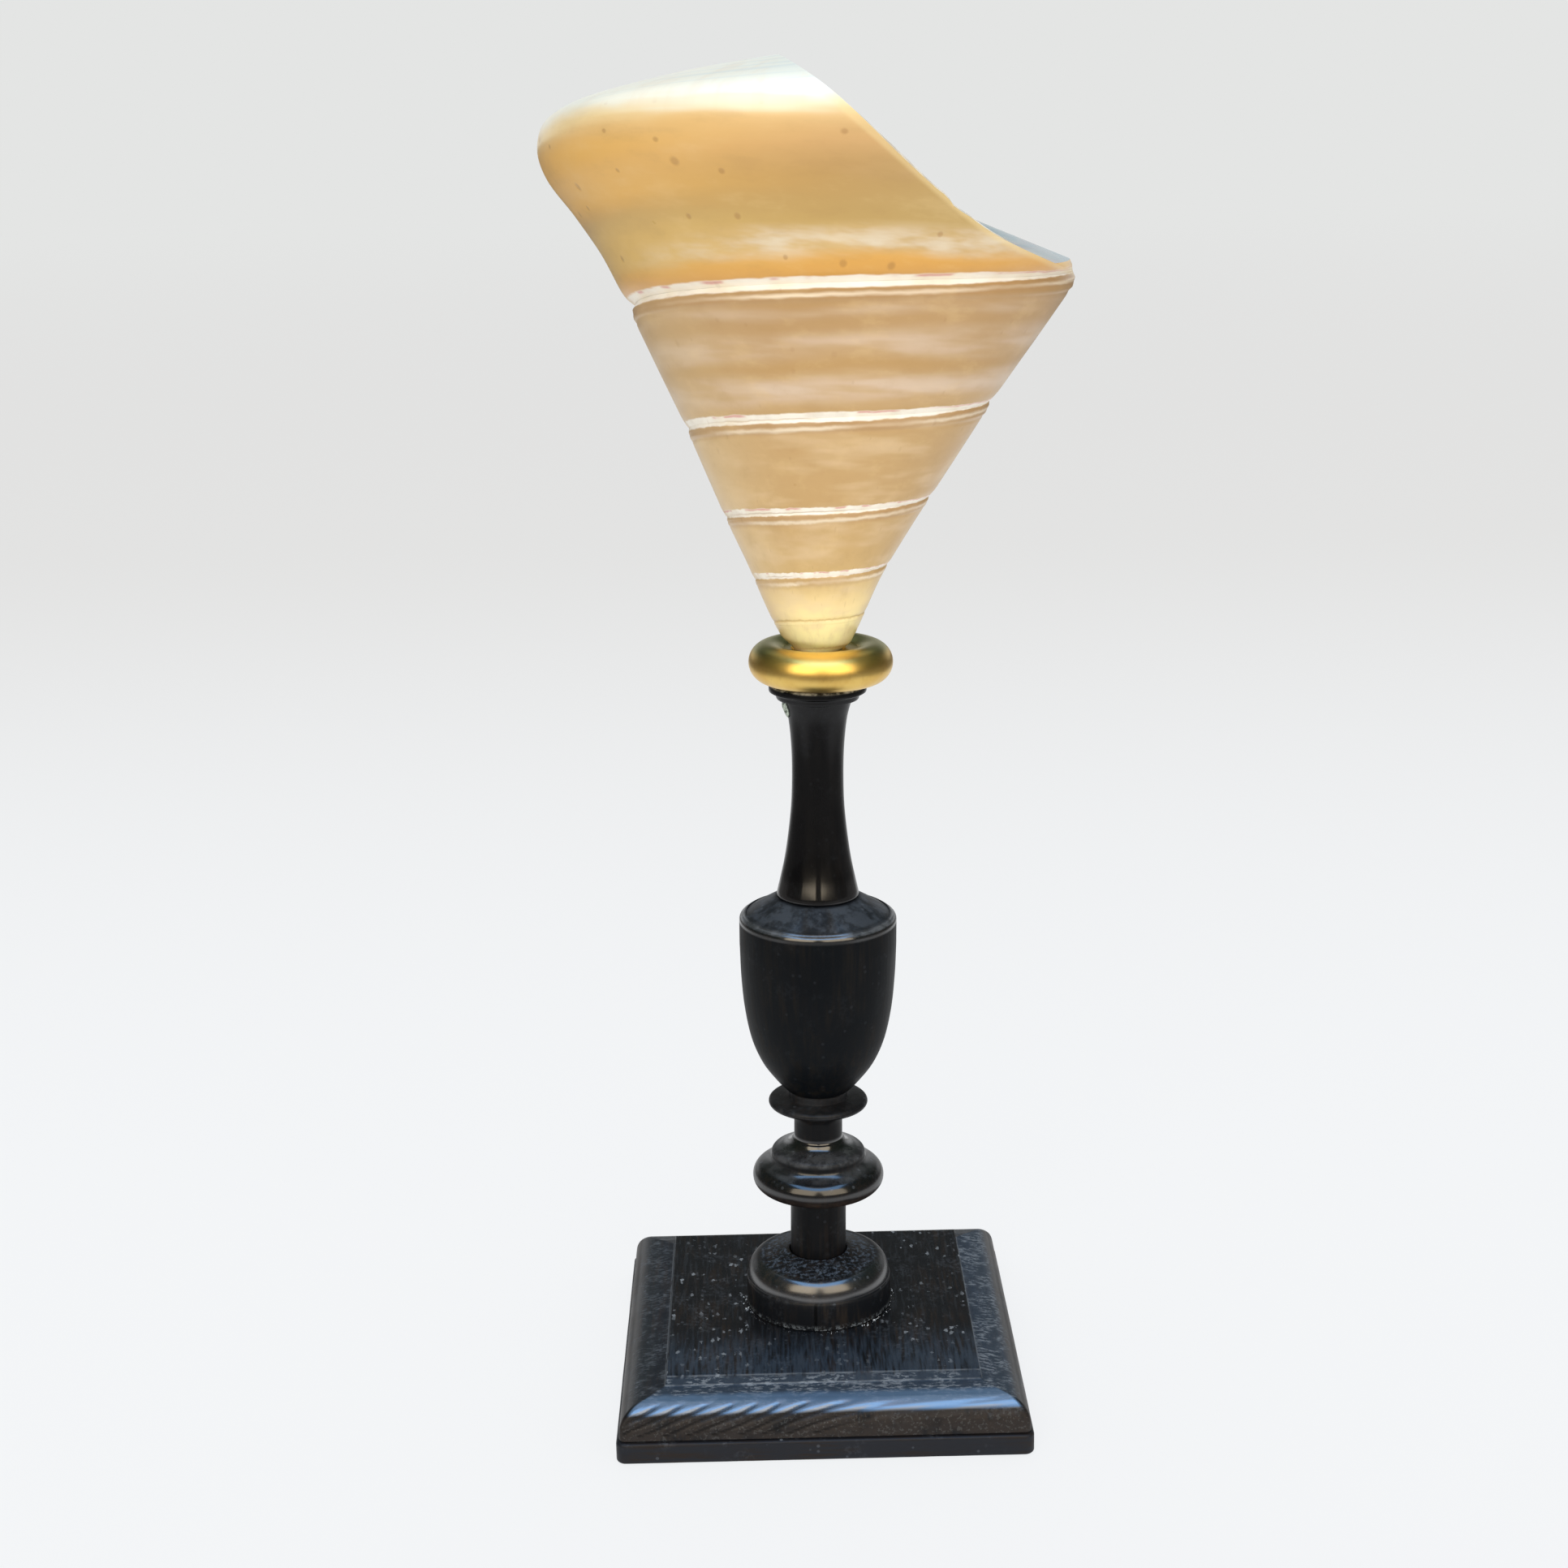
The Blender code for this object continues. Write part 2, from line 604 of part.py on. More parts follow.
def lean(collections):
    """Leans every piece and cutter that stands above the foot."""
    pivot = Vector((0.0, 0.0, STEM_PIVOT))
    turn = Matrix.Translation(pivot) @ Matrix.Rotation(STEM_LEAN, 4, "Y") @ Matrix.Translation(-pivot)
    for collection in collections:
        for obj in collection.objects:
            if obj.name not in UPRIGHT:
                obj.matrix_world = turn @ obj.matrix_world


def main():
    clear_scene()
    parts = make_collection("trochus_shell_on_stand")
    cutters = make_collection("cutters", hidden=True)
    nacre = make_material("nacre", (0.72, 0.46, 0.22), 0.22)
    brass = make_material("brass", (0.80, 0.58, 0.22), 0.2, metallic=1.0)
    polished = make_material("ebonised_polished", (0.012, 0.011, 0.010), 0.22)
    matte = make_material("ebonised_matte", (0.014, 0.016, 0.019), 0.5)
    worn = make_material("ebonised_worn", (0.020, 0.022, 0.026), 0.42)
    build_board(parts, worn)
    build_block(parts, cutters, worn)
    build_foot(parts, worn)
    build_spindle(parts, matte)
    build_urn(parts, matte)
    build_neck(parts, polished)
    ring = build_ring(parts, brass)
    build_shell(parts, cutters, nacre)
    seat_ring(ring, cutters)
    bpy.context.view_layer.update()
    lean((parts, cutters))


main()
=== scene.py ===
"""Looks of half a polished trochus shell, point down in a brass ring, on a turned and ebonised stand.

Metres, +Z up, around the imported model, which is the fixed frame. The front is -Y. Every piece repeats its CAD
node at a finer resolution, with the wear, grain and nacre that the solids leave out.
"""

from __future__ import annotations

import logging
import math
import sys
from dataclasses import astuple, dataclass, field, replace
from enum import Enum
from typing import Any, Callable, Sequence

import bmesh
import bpy
import numpy as np
from mathutils import Matrix, Vector

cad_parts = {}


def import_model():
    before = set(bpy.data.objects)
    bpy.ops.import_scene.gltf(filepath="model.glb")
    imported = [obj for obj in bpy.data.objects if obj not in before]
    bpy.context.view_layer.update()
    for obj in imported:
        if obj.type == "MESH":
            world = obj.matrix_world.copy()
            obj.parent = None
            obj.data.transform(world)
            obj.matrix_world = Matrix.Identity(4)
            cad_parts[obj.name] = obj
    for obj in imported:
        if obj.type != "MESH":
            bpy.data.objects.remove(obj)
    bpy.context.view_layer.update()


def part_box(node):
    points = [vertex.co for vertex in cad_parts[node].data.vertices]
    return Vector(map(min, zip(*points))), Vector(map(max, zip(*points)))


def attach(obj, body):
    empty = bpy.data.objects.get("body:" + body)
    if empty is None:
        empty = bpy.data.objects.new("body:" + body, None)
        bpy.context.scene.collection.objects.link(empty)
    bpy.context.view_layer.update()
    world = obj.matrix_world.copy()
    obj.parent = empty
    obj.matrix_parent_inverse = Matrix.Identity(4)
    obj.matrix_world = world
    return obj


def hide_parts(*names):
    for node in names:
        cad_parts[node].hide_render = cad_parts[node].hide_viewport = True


MM = 0.001
GAP = 0.3 * MM  # between touching pieces
LOG = logging.getLogger("trochus_shell")
BODY = "root"

Socket = bpy.types.NodeSocket
Piece = bpy.types.Object
Colour = tuple[float, float, float, float]
Profile = list[tuple[float, float]]


def srgb(red: float, green: float, blue: float) -> Colour:
    """Turns a display colour with channels of 0 to 255 into a scene colour.

    Args:
        red: Display red.
        green: Display green.
        blue: Display blue.

    Returns:
        The linear colour with full alpha.
    """
    shares = [channel / 255 for channel in (red, green, blue)]
    linear = [s / 12.92 if s <= 0.04045 else ((s + 0.055) / 1.055) ** 2.4 for s in shares]
    return (linear[0], linear[1], linear[2], 1.0)


# --- node trees ---


def operator(operation: str, swapped: bool = False) -> Callable[[Flow, Any], Flow]:
    """An operator's method, which adds a Math node.

    Args:
        operation: The node's operation.
        swapped: Whether the other value comes first, as in 1 - mask.

    Returns:
        The method.
    """

    def method(self: Flow, other: Flow | float) -> Flow:
        """The operation on the two values."""
        return self.maker.maths(operation, *((other, self) if swapped else (self, other)))

    return method


class Flow:
    """A number that flows through a node tree and takes part in Python expressions."""

    __add__, __radd__ = operator("ADD"), operator("ADD", True)
    __sub__, __rsub__ = operator("SUBTRACT"), operator("SUBTRACT", True)
    __mul__, __rmul__ = operator("MULTIPLY"), operator("MULTIPLY", True)
    __truediv__, __pow__ = operator("DIVIDE"), operator("POWER")

    def __init__(self, maker: Maker, socket: Socket) -> None:
        """Wraps an output socket of the maker's tree."""
        self.maker, self.socket = maker, socket

    def __neg__(self) -> Flow:
        """-self."""
        return self * -1.0

    def __abs__(self) -> Flow:
        """abs(self)."""
        return self.apply("ABSOLUTE")

    def apply(self, operation: str, *others: Flow | float) -> Flow:
        """The named Math operation on this value and the others."""
        return self.maker.maths(operation, self, *others)

    def root(self) -> Flow:
        """The square root."""
        return self.apply("SQRT")

    def most(self, other: Flow | float) -> Flow:
        """The larger of the two."""
        return self.apply("MAXIMUM", other)

    def clamp(self) -> Flow:
        """The value kept from 0 to 1."""
        return self.most(0.0).apply("MINIMUM", 1.0)

    def rise(self, low: float, high: float) -> Flow:
        """A smooth step from 0 at one value to 1 at another.

        Args:
            low: Where it is 0.
            high: Where it is 1; below low, the step falls instead.

        Returns:
            The step.
        """
        ends = {"Value": self, "From Min": min(low, high), "From Max": max(low, high)}
        made = self.maker.node("ShaderNodeMapRange", {"interpolation_type": "SMOOTHSTEP"}, ends)
        step = Flow(self.maker, made.outputs["Result"])
        return step if low <= high else 1.0 - step

    def hump(self, middle: Flow | float, width: float) -> Flow:
        """A bell of height 1 about the middle, gone at this distance from it."""
        return abs(self - middle).rise(width, 0.0)

    def between(self, low: float, high: float, soft: float) -> Flow:
        """1 from low to high, with soft flanks."""
        return self.rise(low - soft, low + soft) * self.rise(high + soft, high - soft)


class Maker:
    """Adds nodes to one shader or geometry tree."""

    def __init__(self, tree: bpy.types.NodeTree) -> None:
        """Keeps the tree that the nodes go into."""
        self.tree = tree

    def node(
        self,
        kind: str,
        settings: dict[str, Any] | None = None,
        inputs: dict[str | int, Any] | None = None,
    ) -> bpy.types.Node:
        """Adds any node: its settings first, then the values or links of its sockets.

        Args:
            kind: The node's type name.
            settings: Properties of the node; "stops" is a ramp's list of (position, colour).
            inputs: Values, flows or sockets by input name or index.

        Returns:
            The new node.
        """
        made = self.tree.nodes.new(kind)
        for name, value in (settings or {}).items():
            if name != "stops":
                setattr(made, name, value)
                continue
            stops = made.color_ramp.elements
            while len(stops) < len(value):
                stops.new(0.5)
            for stop, (position, colour) in zip(stops, value):
                stop.position, stop.color = position, colour
        for key, value in (inputs or {}).items():
            self.feed(made.inputs[key], value)
        return made

    def out(self, kind: str, inputs: dict[str | int, Any] | None = None) -> Socket:
        """The first output of a new node that has no settings."""
        return self.node(kind, None, inputs).outputs[0]

    def feed(self, target: Socket, value: Any) -> None:
        """Links a flow or socket to an input, or sets its constant.

        Args:
            target: The input.
            value: What it gets.
        """
        if isinstance(value, Flow):
            value = value.socket
        if isinstance(value, Socket):
            self.tree.links.new(value, target)
        else:
            target.default_value = value

    def maths(self, operation: str, *operands: Flow | float) -> Flow:
        """A Math node on the operands."""
        made = self.node("ShaderNodeMath", {"operation": operation}, dict(enumerate(operands)))
        return Flow(self, made.outputs[0])

    def vector(self, operation: str, *operands: Any) -> Socket:
        """A Vector Math node's vector result."""
        made = self.node("ShaderNodeVectorMath", {"operation": operation}, dict(enumerate(operands)))
        return made.outputs[0]

    def dot(self, vector: Socket, other: Sequence[float]) -> Flow:
        """The dot product of a vector and a fixed direction."""
        made = self.node("ShaderNodeVectorMath", {"operation": "DOT_PRODUCT"}, {0: vector, 1: other})
        return Flow(self, made.outputs["Value"])

    def scaled(self, direction: Sequence[float] | Socket, amount: Flow) -> Socket:
        """A direction times a flowing amount."""
        inputs = {0: direction, "Scale": amount}
        return self.node("ShaderNodeVectorMath", {"operation": "SCALE"}, inputs).outputs[0]

    def combine(self, x: Flow | float, y: Flow | float, z: Flow | float) -> Socket:
        """A vector from three numbers."""
        return self.out("ShaderNodeCombineXYZ", {0: x, 1: y, 2: z})

    def separate(self, vector: Socket) -> tuple[Flow, Flow, Flow]:
        """The three numbers of a vector."""
        made = self.node("ShaderNodeSeparateXYZ", None, {0: vector})
        return tuple(Flow(self, output) for output in made.outputs[:3])

    def noise(
        self,
        vector: Socket,
        scale: Any,
        detail: float = 2.0,
        roughness: float = 0.5,
        distortion: float = 0.0,
    ) -> Flow:
        """Noise about 0.5.

        Args:
            vector: Where it is read.
            scale: Features to a unit of the vector, as one number or one for each axis.
            detail: Octaves.
            roughness: Strength of the finer octaves.
            distortion: Swirl.

        Returns:
            The noise value.
        """
        if isinstance(scale, tuple):
            vector, scale = self.vector("MULTIPLY", vector, scale), 1.0
        inputs = {"Vector": vector, "Scale": scale, "Detail": detail}
        inputs |= {"Roughness": roughness, "Distortion": distortion}
        return Flow(self, self.out("ShaderNodeTexNoise", inputs))

    def grain(self, x: Any, y: Any, z: Any, *settings: float) -> Flow:
        """Noise read at three numbers; the settings start with its detail."""
        return self.noise(self.combine(x, y, z), 1.0, *settings)

    def spots(self, vector: Socket, scale: float, kind: str = "3D") -> tuple[Flow, Flow]:
        """Scattered points.

        Args:
            vector: Where they are read.
            scale: Points to a unit of the vector.
            kind: "3D", or "2D" for points that are read on x and y alone.

        Returns:
            The distance to the nearest point, and a random number for that point.
        """
        settings = {"voronoi_dimensions": kind}
        made = self.node("ShaderNodeTexVoronoi", settings, {"Vector": vector, "Scale": scale})
        red = self.out("ShaderNodeSeparateColor", {0: made.outputs["Color"]})
        return Flow(self, made.outputs["Distance"]), Flow(self, red)

    def mix(self, share: Flow | float, first: Any, second: Any) -> Socket:
        """A colour between the first and the second."""
        inputs = {"Factor": share, 6: first, 7: second}
        return self.node("ShaderNodeMix", {"data_type": "RGBA"}, inputs).outputs[2]

    def ramp(self, value: Flow, stops: Sequence[tuple[float, float, float, float]]) -> Socket:
        """A colour that follows a value through stops of a position and a display colour."""
        colours = [(position, srgb(*channels)) for position, *channels in stops]
        return self.node("ShaderNodeValToRGB", {"stops": colours}, {0: value}).outputs[0]


class Paint:
    """A colour that display colours are laid over."""

    def __init__(self, maker: Maker, colour: Any) -> None:
        """Starts with a colour or a colour's socket."""
        self.maker, self.colour = maker, colour

    def lay(self, share: Flow | float, red: float, green: float, blue: float) -> None:
        """Lays a display colour over it by a share."""
        self.colour = self.maker.mix(share, self.colour, srgb(red, green, blue))


@dataclass
class Looks:
    """What a finish gives its shader: flows for what varies, and numbers for what is the same all over."""

    colour: Socket
    roughness: Flow
    relief: Flow  # height in metres
    coat: Flow | None = None
    fixed: dict[str, float] = field(default_factory=dict)


@dataclass(frozen=True)
class Finish:
    """A surface finish; subclasses paint it in shader nodes."""

    name: str = "finish"

    def paint(self, maker: Maker, place: Socket) -> Looks:
        """The looks at the Object coordinates."""
        raise NotImplementedError

    def material(self) -> bpy.types.Material:
        """The material of this finish, made once.

        Returns:
            The Blender material.
        """
        found = bpy.data.materials.get(self.name)
        if found:
            return found
        made = bpy.data.materials.new(self.name)
        made.use_nodes = True
        maker = Maker(made.node_tree)
        shader = made.node_tree.nodes["Principled BSDF"]
        looks = self.paint(maker, maker.node("ShaderNodeTexCoord").outputs["Object"])
        maker.feed(shader.inputs["Base Color"], looks.colour)
        maker.feed(shader.inputs["Roughness"], looks.roughness.clamp())
        if looks.coat is not None:
            maker.feed(shader.inputs["Coat Weight"], looks.coat.clamp())
        for name, value in looks.fixed.items():
            shader.inputs[name].default_value = value
        bump = maker.out("ShaderNodeBump", {"Height": looks.relief, "Distance": 1.0})
        maker.feed(shader.inputs["Normal"], bump)
        return made


# --- meshes ---


def add_object(name: str, mesh: bpy.types.Mesh) -> Piece:
    """A new object at the origin.

    Args:
        name: Its name.
        mesh: Its mesh.

    Returns:
        The object.
    """
    made = bpy.data.objects.new(name, mesh)
    bpy.context.scene.collection.objects.link(made)
    return made


def frozen(obj: Piece) -> Piece:
    """Turns the evaluated object into a plain mesh and drops its modifiers.

    Args:
        obj: The object with its modifiers.

    Returns:
        The same object, now plain.
    """
    bpy.context.view_layer.update()
    graph = bpy.context.evaluated_depsgraph_get()
    mesh = bpy.data.meshes.new_from_object(obj.evaluated_get(graph), depsgraph=graph)
    obj.modifiers.clear()
    obj.data = mesh
    return obj


def shade(obj: Piece, angle: float = 38.0) -> Piece:
    """Smooths the shading, except over sharp edges.

    Args:
        obj: The object to change.
        angle: The angle in degrees that makes an edge sharp.

    Returns:
        The same object.
    """
    obj.data.polygons.foreach_set("use_smooth", [True] * len(obj.data.polygons))
    obj.data.set_sharp_from_angle(angle=math.radians(angle))
    return obj


def from_shape(name: str, shape: bmesh.types.BMesh) -> bpy.types.Mesh:
    """Turns a bmesh's faces outwards, makes it a mesh and frees it.

    Args:
        name: The mesh's name.
        shape: The bmesh.

    Returns:
        The mesh.
    """
    bmesh.ops.recalc_face_normals(shape, faces=shape.faces)
    mesh = bpy.data.meshes.new(name)
    shape.to_mesh(mesh)
    shape.free()
    return mesh


def merged(obj: Piece, distance: float = 0.002 * MM) -> Piece:
    """Merges doubles and points the faces outwards.

    Args:
        obj: The object to change.
        distance: How far apart doubles may lie.

    Returns:
        The same object.
    """
    shape = bmesh.new()
    shape.from_mesh(obj.data)
    bmesh.ops.remove_doubles(shape, verts=shape.verts, dist=distance)
    bmesh.ops.recalc_face_normals(shape, faces=shape.faces)
    shape.to_mesh(obj.data)
    shape.free()
    return obj


def use_tree(obj: Piece, tree: bpy.types.NodeTree, values: dict[str, Any]) -> Piece:
    """Runs a Geometry Nodes tree on the object and keeps the plain result.

    Args:
        obj: The object to change.
        tree: The tree.
        values: The tree's inputs by name.

    Returns:
        The same object with the tree's mesh.
    """
    modifier = obj.modifiers.new(tree.name, "NODES")
    modifier.node_group = tree
    items = [item for item in tree.interface.items_tree if item.item_type == "SOCKET"]
    identifiers = {item.name: item.identifier for item in items if item.in_out == "INPUT"}
    for name, value in values.items():
        modifier[identifiers[name]] = value
    return frozen(obj)


class TreeMaker(Maker):
    """Builds a Geometry Nodes tree with named inputs."""

    def __init__(self, name: str, inputs: Sequence[tuple[str, str, Any]]) -> None:
        """Starts an empty tree.

        Args:
            name: The tree's name.
            inputs: (name, kind of socket, default) for each input after the geometry.
        """
        super().__init__(bpy.data.node_groups.new(name, "GeometryNodeTree"))
        face = self.tree.interface
        face.new_socket("Geometry", in_out="OUTPUT", socket_type="NodeSocketGeometry")
        for label, kind, default in (("Geometry", "Geometry", None), *inputs):
            socket = face.new_socket(label, in_out="INPUT", socket_type=f"NodeSocket{kind}")
            if default is not None:
                socket.default_value = default
        self.entry = {socket.name: socket for socket in self.node("NodeGroupInput").outputs}
        self.place = self.out("GeometryNodeInputPosition")

    def size(self, name: str) -> Flow:
        """The named input as a number."""
        return Flow(self, self.entry[name])

    def attribute(self, name: str, kind: str = "FLOAT") -> Flow:
        """A named attribute of the geometry."""
        made = self.node("GeometryNodeInputNamedAttribute", {"data_type": kind}, {"Name": name})
        return Flow(self, made.outputs["Attribute"])

    def moved(self, geometry: Socket, **where: Any) -> Socket:
        """The geometry's points at a Position, or shifted by an Offset."""
        return self.out("GeometryNodeSetPosition", {"Geometry": geometry, **where})

    def raised(self, geometry: Socket, height: Flow) -> Socket:
        """The geometry's points moved along their normals."""
        return self.moved(geometry, Offset=self.scaled(self.out("GeometryNodeInputNormal"), height))

    def finished(self, geometry: Socket, *finishes: tuple[Any, Any]) -> bpy.types.NodeTree:
        """Realizes instances, sets the materials and ends the tree.

        Args:
            geometry: The geometry so far.
            finishes: (selection, material socket) pairs; without any, the "Finish" input is used.

        Returns:
            The tree.
        """
        geometry = self.out("GeometryNodeRealizeInstances", {0: geometry})
        for selection, material in finishes or ((True, self.entry["Finish"]),):
            inputs = {"Geometry": geometry, "Selection": selection, "Material": material}
            geometry = self.out("GeometryNodeSetMaterial", inputs)
        self.node("NodeGroupOutput", None, {0: geometry})
        return self.tree


# --- profiles ---


def arc(centre: tuple[float, float], radius: float, start: float, end: float, steps: int) -> Profile:
    """Points on an arc, in degrees.

    Args:
        centre: Radius and height of its middle.
        radius: Its radius.
        start: First angle.
        end: Last angle.
        steps: Parts between them.

    Returns:
        The points.
    """
    angles = [math.radians(start + (end - start) * step / steps) for step in range(steps + 1)]
    return [(centre[0] + radius * math.cos(a), centre[1] + radius * math.sin(a)) for a in angles]


def corner_curve(first: Vector, corner: Vector, last: Vector, steps: int) -> Profile:
    """Points on a quadratic curve.

    Args:
        first: Where it starts.
        corner: What it bends towards.
        last: Where it ends.
        steps: Parts between them.

    Returns:
        The points.
    """
    shares = [step / steps for step in range(steps + 1)]
    return [tuple((1 - s) ** 2 * first + 2 * s * (1 - s) * corner + s**2 * last) for s in shares]


def curve(points: Profile, steps: int) -> Profile:
    """A Catmull-Rom curve through points.

    Args:
        points: The points.
        steps: Parts between two of them.

    Returns:
        The finer points.
    """
    ends = [Vector(point) for point in points]
    ends = [2 * ends[0] - ends[1], *ends, 2 * ends[-1] - ends[-2]]
    made = []
    for before, here, there, after in zip(ends, ends[1:], ends[2:], ends[3:]):
        for s in (step / steps for step in range(steps)):
            bend = (2 * before - 5 * here + 4 * there - after) * s**2
            twist = (3 * here - before - 3 * there + after) * s**3
            made.append(tuple(0.5 * (2 * here + (there - before) * s + bend + twist)))
    return [*made, tuple(ends[-2])]


def rounded(points: Profile, radius: float, steps: int = 3) -> Profile:
    """A profile with its inner corners rounded.

    Args:
        points: The profile.
        radius: The most that a corner gives up on each side.
        steps: Parts of a rounded corner.

    Returns:
        The rounded profile.
    """
    made = [points[0]]
    for before, here, after in zip(points, points[1:], points[2:]):
        corner = Vector(here)
        back, ahead = Vector(before) - corner, Vector(after) - corner
        bend = back.angle(ahead, math.pi) if back.length and ahead.length else math.pi
        if bend > math.radians(160):
            made.append(here)
            continue
        reach = min(radius, 0.45 * back.length, 0.45 * ahead.length)
        first, last = corner + back.normalized() * reach, corner + ahead.normalized() * reach
        made += corner_curve(first, corner, last, steps)
    return [*made, points[-1]]


def split(points: Profile, longest: float) -> Profile:
    """A profile with its long straight runs cut into shorter ones.

    Args:
        points: The profile.
        longest: The longest run that stays whole.

    Returns:
        The profile with more points.
    """
    made = [points[0]]
    for here, there in zip(map(Vector, points), map(Vector, points[1:])):
        parts = max(1, math.ceil((there - here).length / longest))
        made += [tuple(here.lerp(there, (i + 1) / parts)) for i in range(parts)]
    return made


@dataclass(frozen=True)
class Stem:
    """How everything above the foot leans, as the post stands in its socket."""

    lean: float = math.radians(0.8)
    pivot: float = 26.0 * MM
    tenon_radius: float = 3.4 * MM
    tenon_length: float = 6.0 * MM

    def matrix(self) -> Matrix:
        """The lean about the pivot."""
        up = Matrix.Translation((0.0, 0.0, self.pivot))
        return up @ Matrix.Rotation(self.lean, 4, "Y") @ up.inverted()

    def socket(self, top: float) -> Profile:
        """The start of a profile: a blind hole for a tenon."""
        radius, floor = self.tenon_radius + GAP, top - self.tenon_length - GAP
        return [(0.0, floor), (radius, floor), (radius, top)]

    def tenon(self, bottom: float) -> Profile:
        """The end of a profile: a tenon below its shoulder."""
        floor = bottom - self.tenon_length
        return [(self.tenon_radius, bottom), (self.tenon_radius, floor), (0.0, floor)]


STEM = Stem()


def skinned(name: str, rings: Sequence[Sequence[Sequence[float]]]) -> bpy.types.Mesh:
    """A closed skin over rings of points; a ring of one point is a pole.

    Args:
        name: The mesh's name.
        rings: The rings, each with as many points as the others or one.

    Returns:
        The mesh, with a face over an end that has no pole.
    """
    shape = bmesh.new()
    rings = [[shape.verts.new(point) for point in ring] for ring in rings]
    sides = max(map(len, rings))
    for ring, following in zip(rings, rings[1:]):
        for i in range(sides):
            near = [ring[k % sides % len(ring)] for k in (i, i + 1)]
            far = [following[k % sides % len(following)] for k in (i + 1, i)]
            corners = list(dict.fromkeys(near + far))
            if len(corners) > 2:
                shape.faces.new(corners)
    for ring in (rings[0], rings[-1]):
        if len(ring) > 2:
            shape.faces.new(ring)
    return from_shape(name, shape)


def turned(name: str, profile: Profile, leaning: bool = True, sides: int = 144) -> Piece:
    """Turns a profile about the Z axis into a closed solid.

    Args:
        name: The object's name.
        profile: (radius, height) points from the axis at the top to the axis at the bottom.
        leaning: Whether the piece stands on the leaning stem.
        sides: Facets round the axis.

    Returns:
        The piece.
    """
    turns = [(math.cos(math.tau * i / sides), math.sin(math.tau * i / sides)) for i in range(sides)]
    rings = []
    for radius, height in profile:
        spread = turns if radius > 0.01 * MM else [(0.0, 0.0)]
        rings.append([(radius * c, radius * s, height) for c, s in spread])
    mesh = skinned(name, rings)
    if leaning:
        mesh.transform(STEM.matrix())
    return add_object(name, mesh)


def cut(obj: Piece, others: Sequence[tuple[Piece, str]]) -> Piece:
    """Adds and subtracts other objects, carrying their materials over, and removes them.

    Args:
        obj: The object to change.
        others: (object, Boolean operation) pairs, in order.

    Returns:
        The same object, now plain.
    """
    for other, operation in others:
        modifier = obj.modifiers.new(other.name, "BOOLEAN")
        modifier.solver = "EXACT"
        modifier.operation = operation
        modifier.material_mode = "TRANSFER"
        modifier.use_self = other.name == "last_whorl"  # its wall runs into itself at the lip's end
        modifier.object = other
    frozen(obj)
    for other, _ in others:
        bpy.data.objects.remove(other, do_unlink=True)
    return obj


def join(obj: Piece, other: Piece) -> Piece:
    """Joins another object's mesh, with its one material, into the object.

    Args:
        obj: The object that keeps its name.
        other: The object that goes into it.

    Returns:
        The joined object.
    """
    shape = bmesh.new()
    shape.from_mesh(obj.data)
    start = len(shape.faces)
    shape.from_mesh(other.data)
    shape.faces.ensure_lookup_table()
    obj.data.materials.append(next(filter(None, other.data.materials)))
    for face in shape.faces[start:]:
        face.material_index = len(obj.data.materials) - 1
    bpy.data.objects.remove(other, do_unlink=True)
    shape.to_mesh(obj.data)
    shape.free()
    return obj


# --- the shell's shape ---


@dataclass(frozen=True)
class SpiralGrowth:
    """The rule the shell grows by: its seam's distance along the axis grows with every turn.

    Turns are 0 where the outermost seam meets the right-hand limb, and fall towards the point.
    """

    scale: float = 96.5 * MM
    growth: float = 1.406
    easing: float = -0.0148
    cone: float = math.tan(math.radians(27.87))
    base_slope: float = math.tan(math.radians(17.0))

    def seam(self, turns: float) -> float:
        """Distance of the seam from the cone's apex, along the axis."""
        return self.scale * self.growth**turns * math.exp(self.easing * turns * turns)

    def turns_at(self, along: float) -> float:
        """The turns at which the seam is this far along the axis.

        Args:
            along: The distance.

        Returns:
            The growth turns.
        """
        rate = math.log(self.growth)
        root = math.sqrt(rate * rate + 4 * self.easing * math.log(along / self.scale))
        return (root - rate) / (2 * self.easing)

    def seam_flow(self, turns: Flow) -> Flow:
        """The seam's distance as node maths."""
        return self.scale * (turns * math.log(self.growth) + turns * turns * self.easing).apply("EXPONENT")


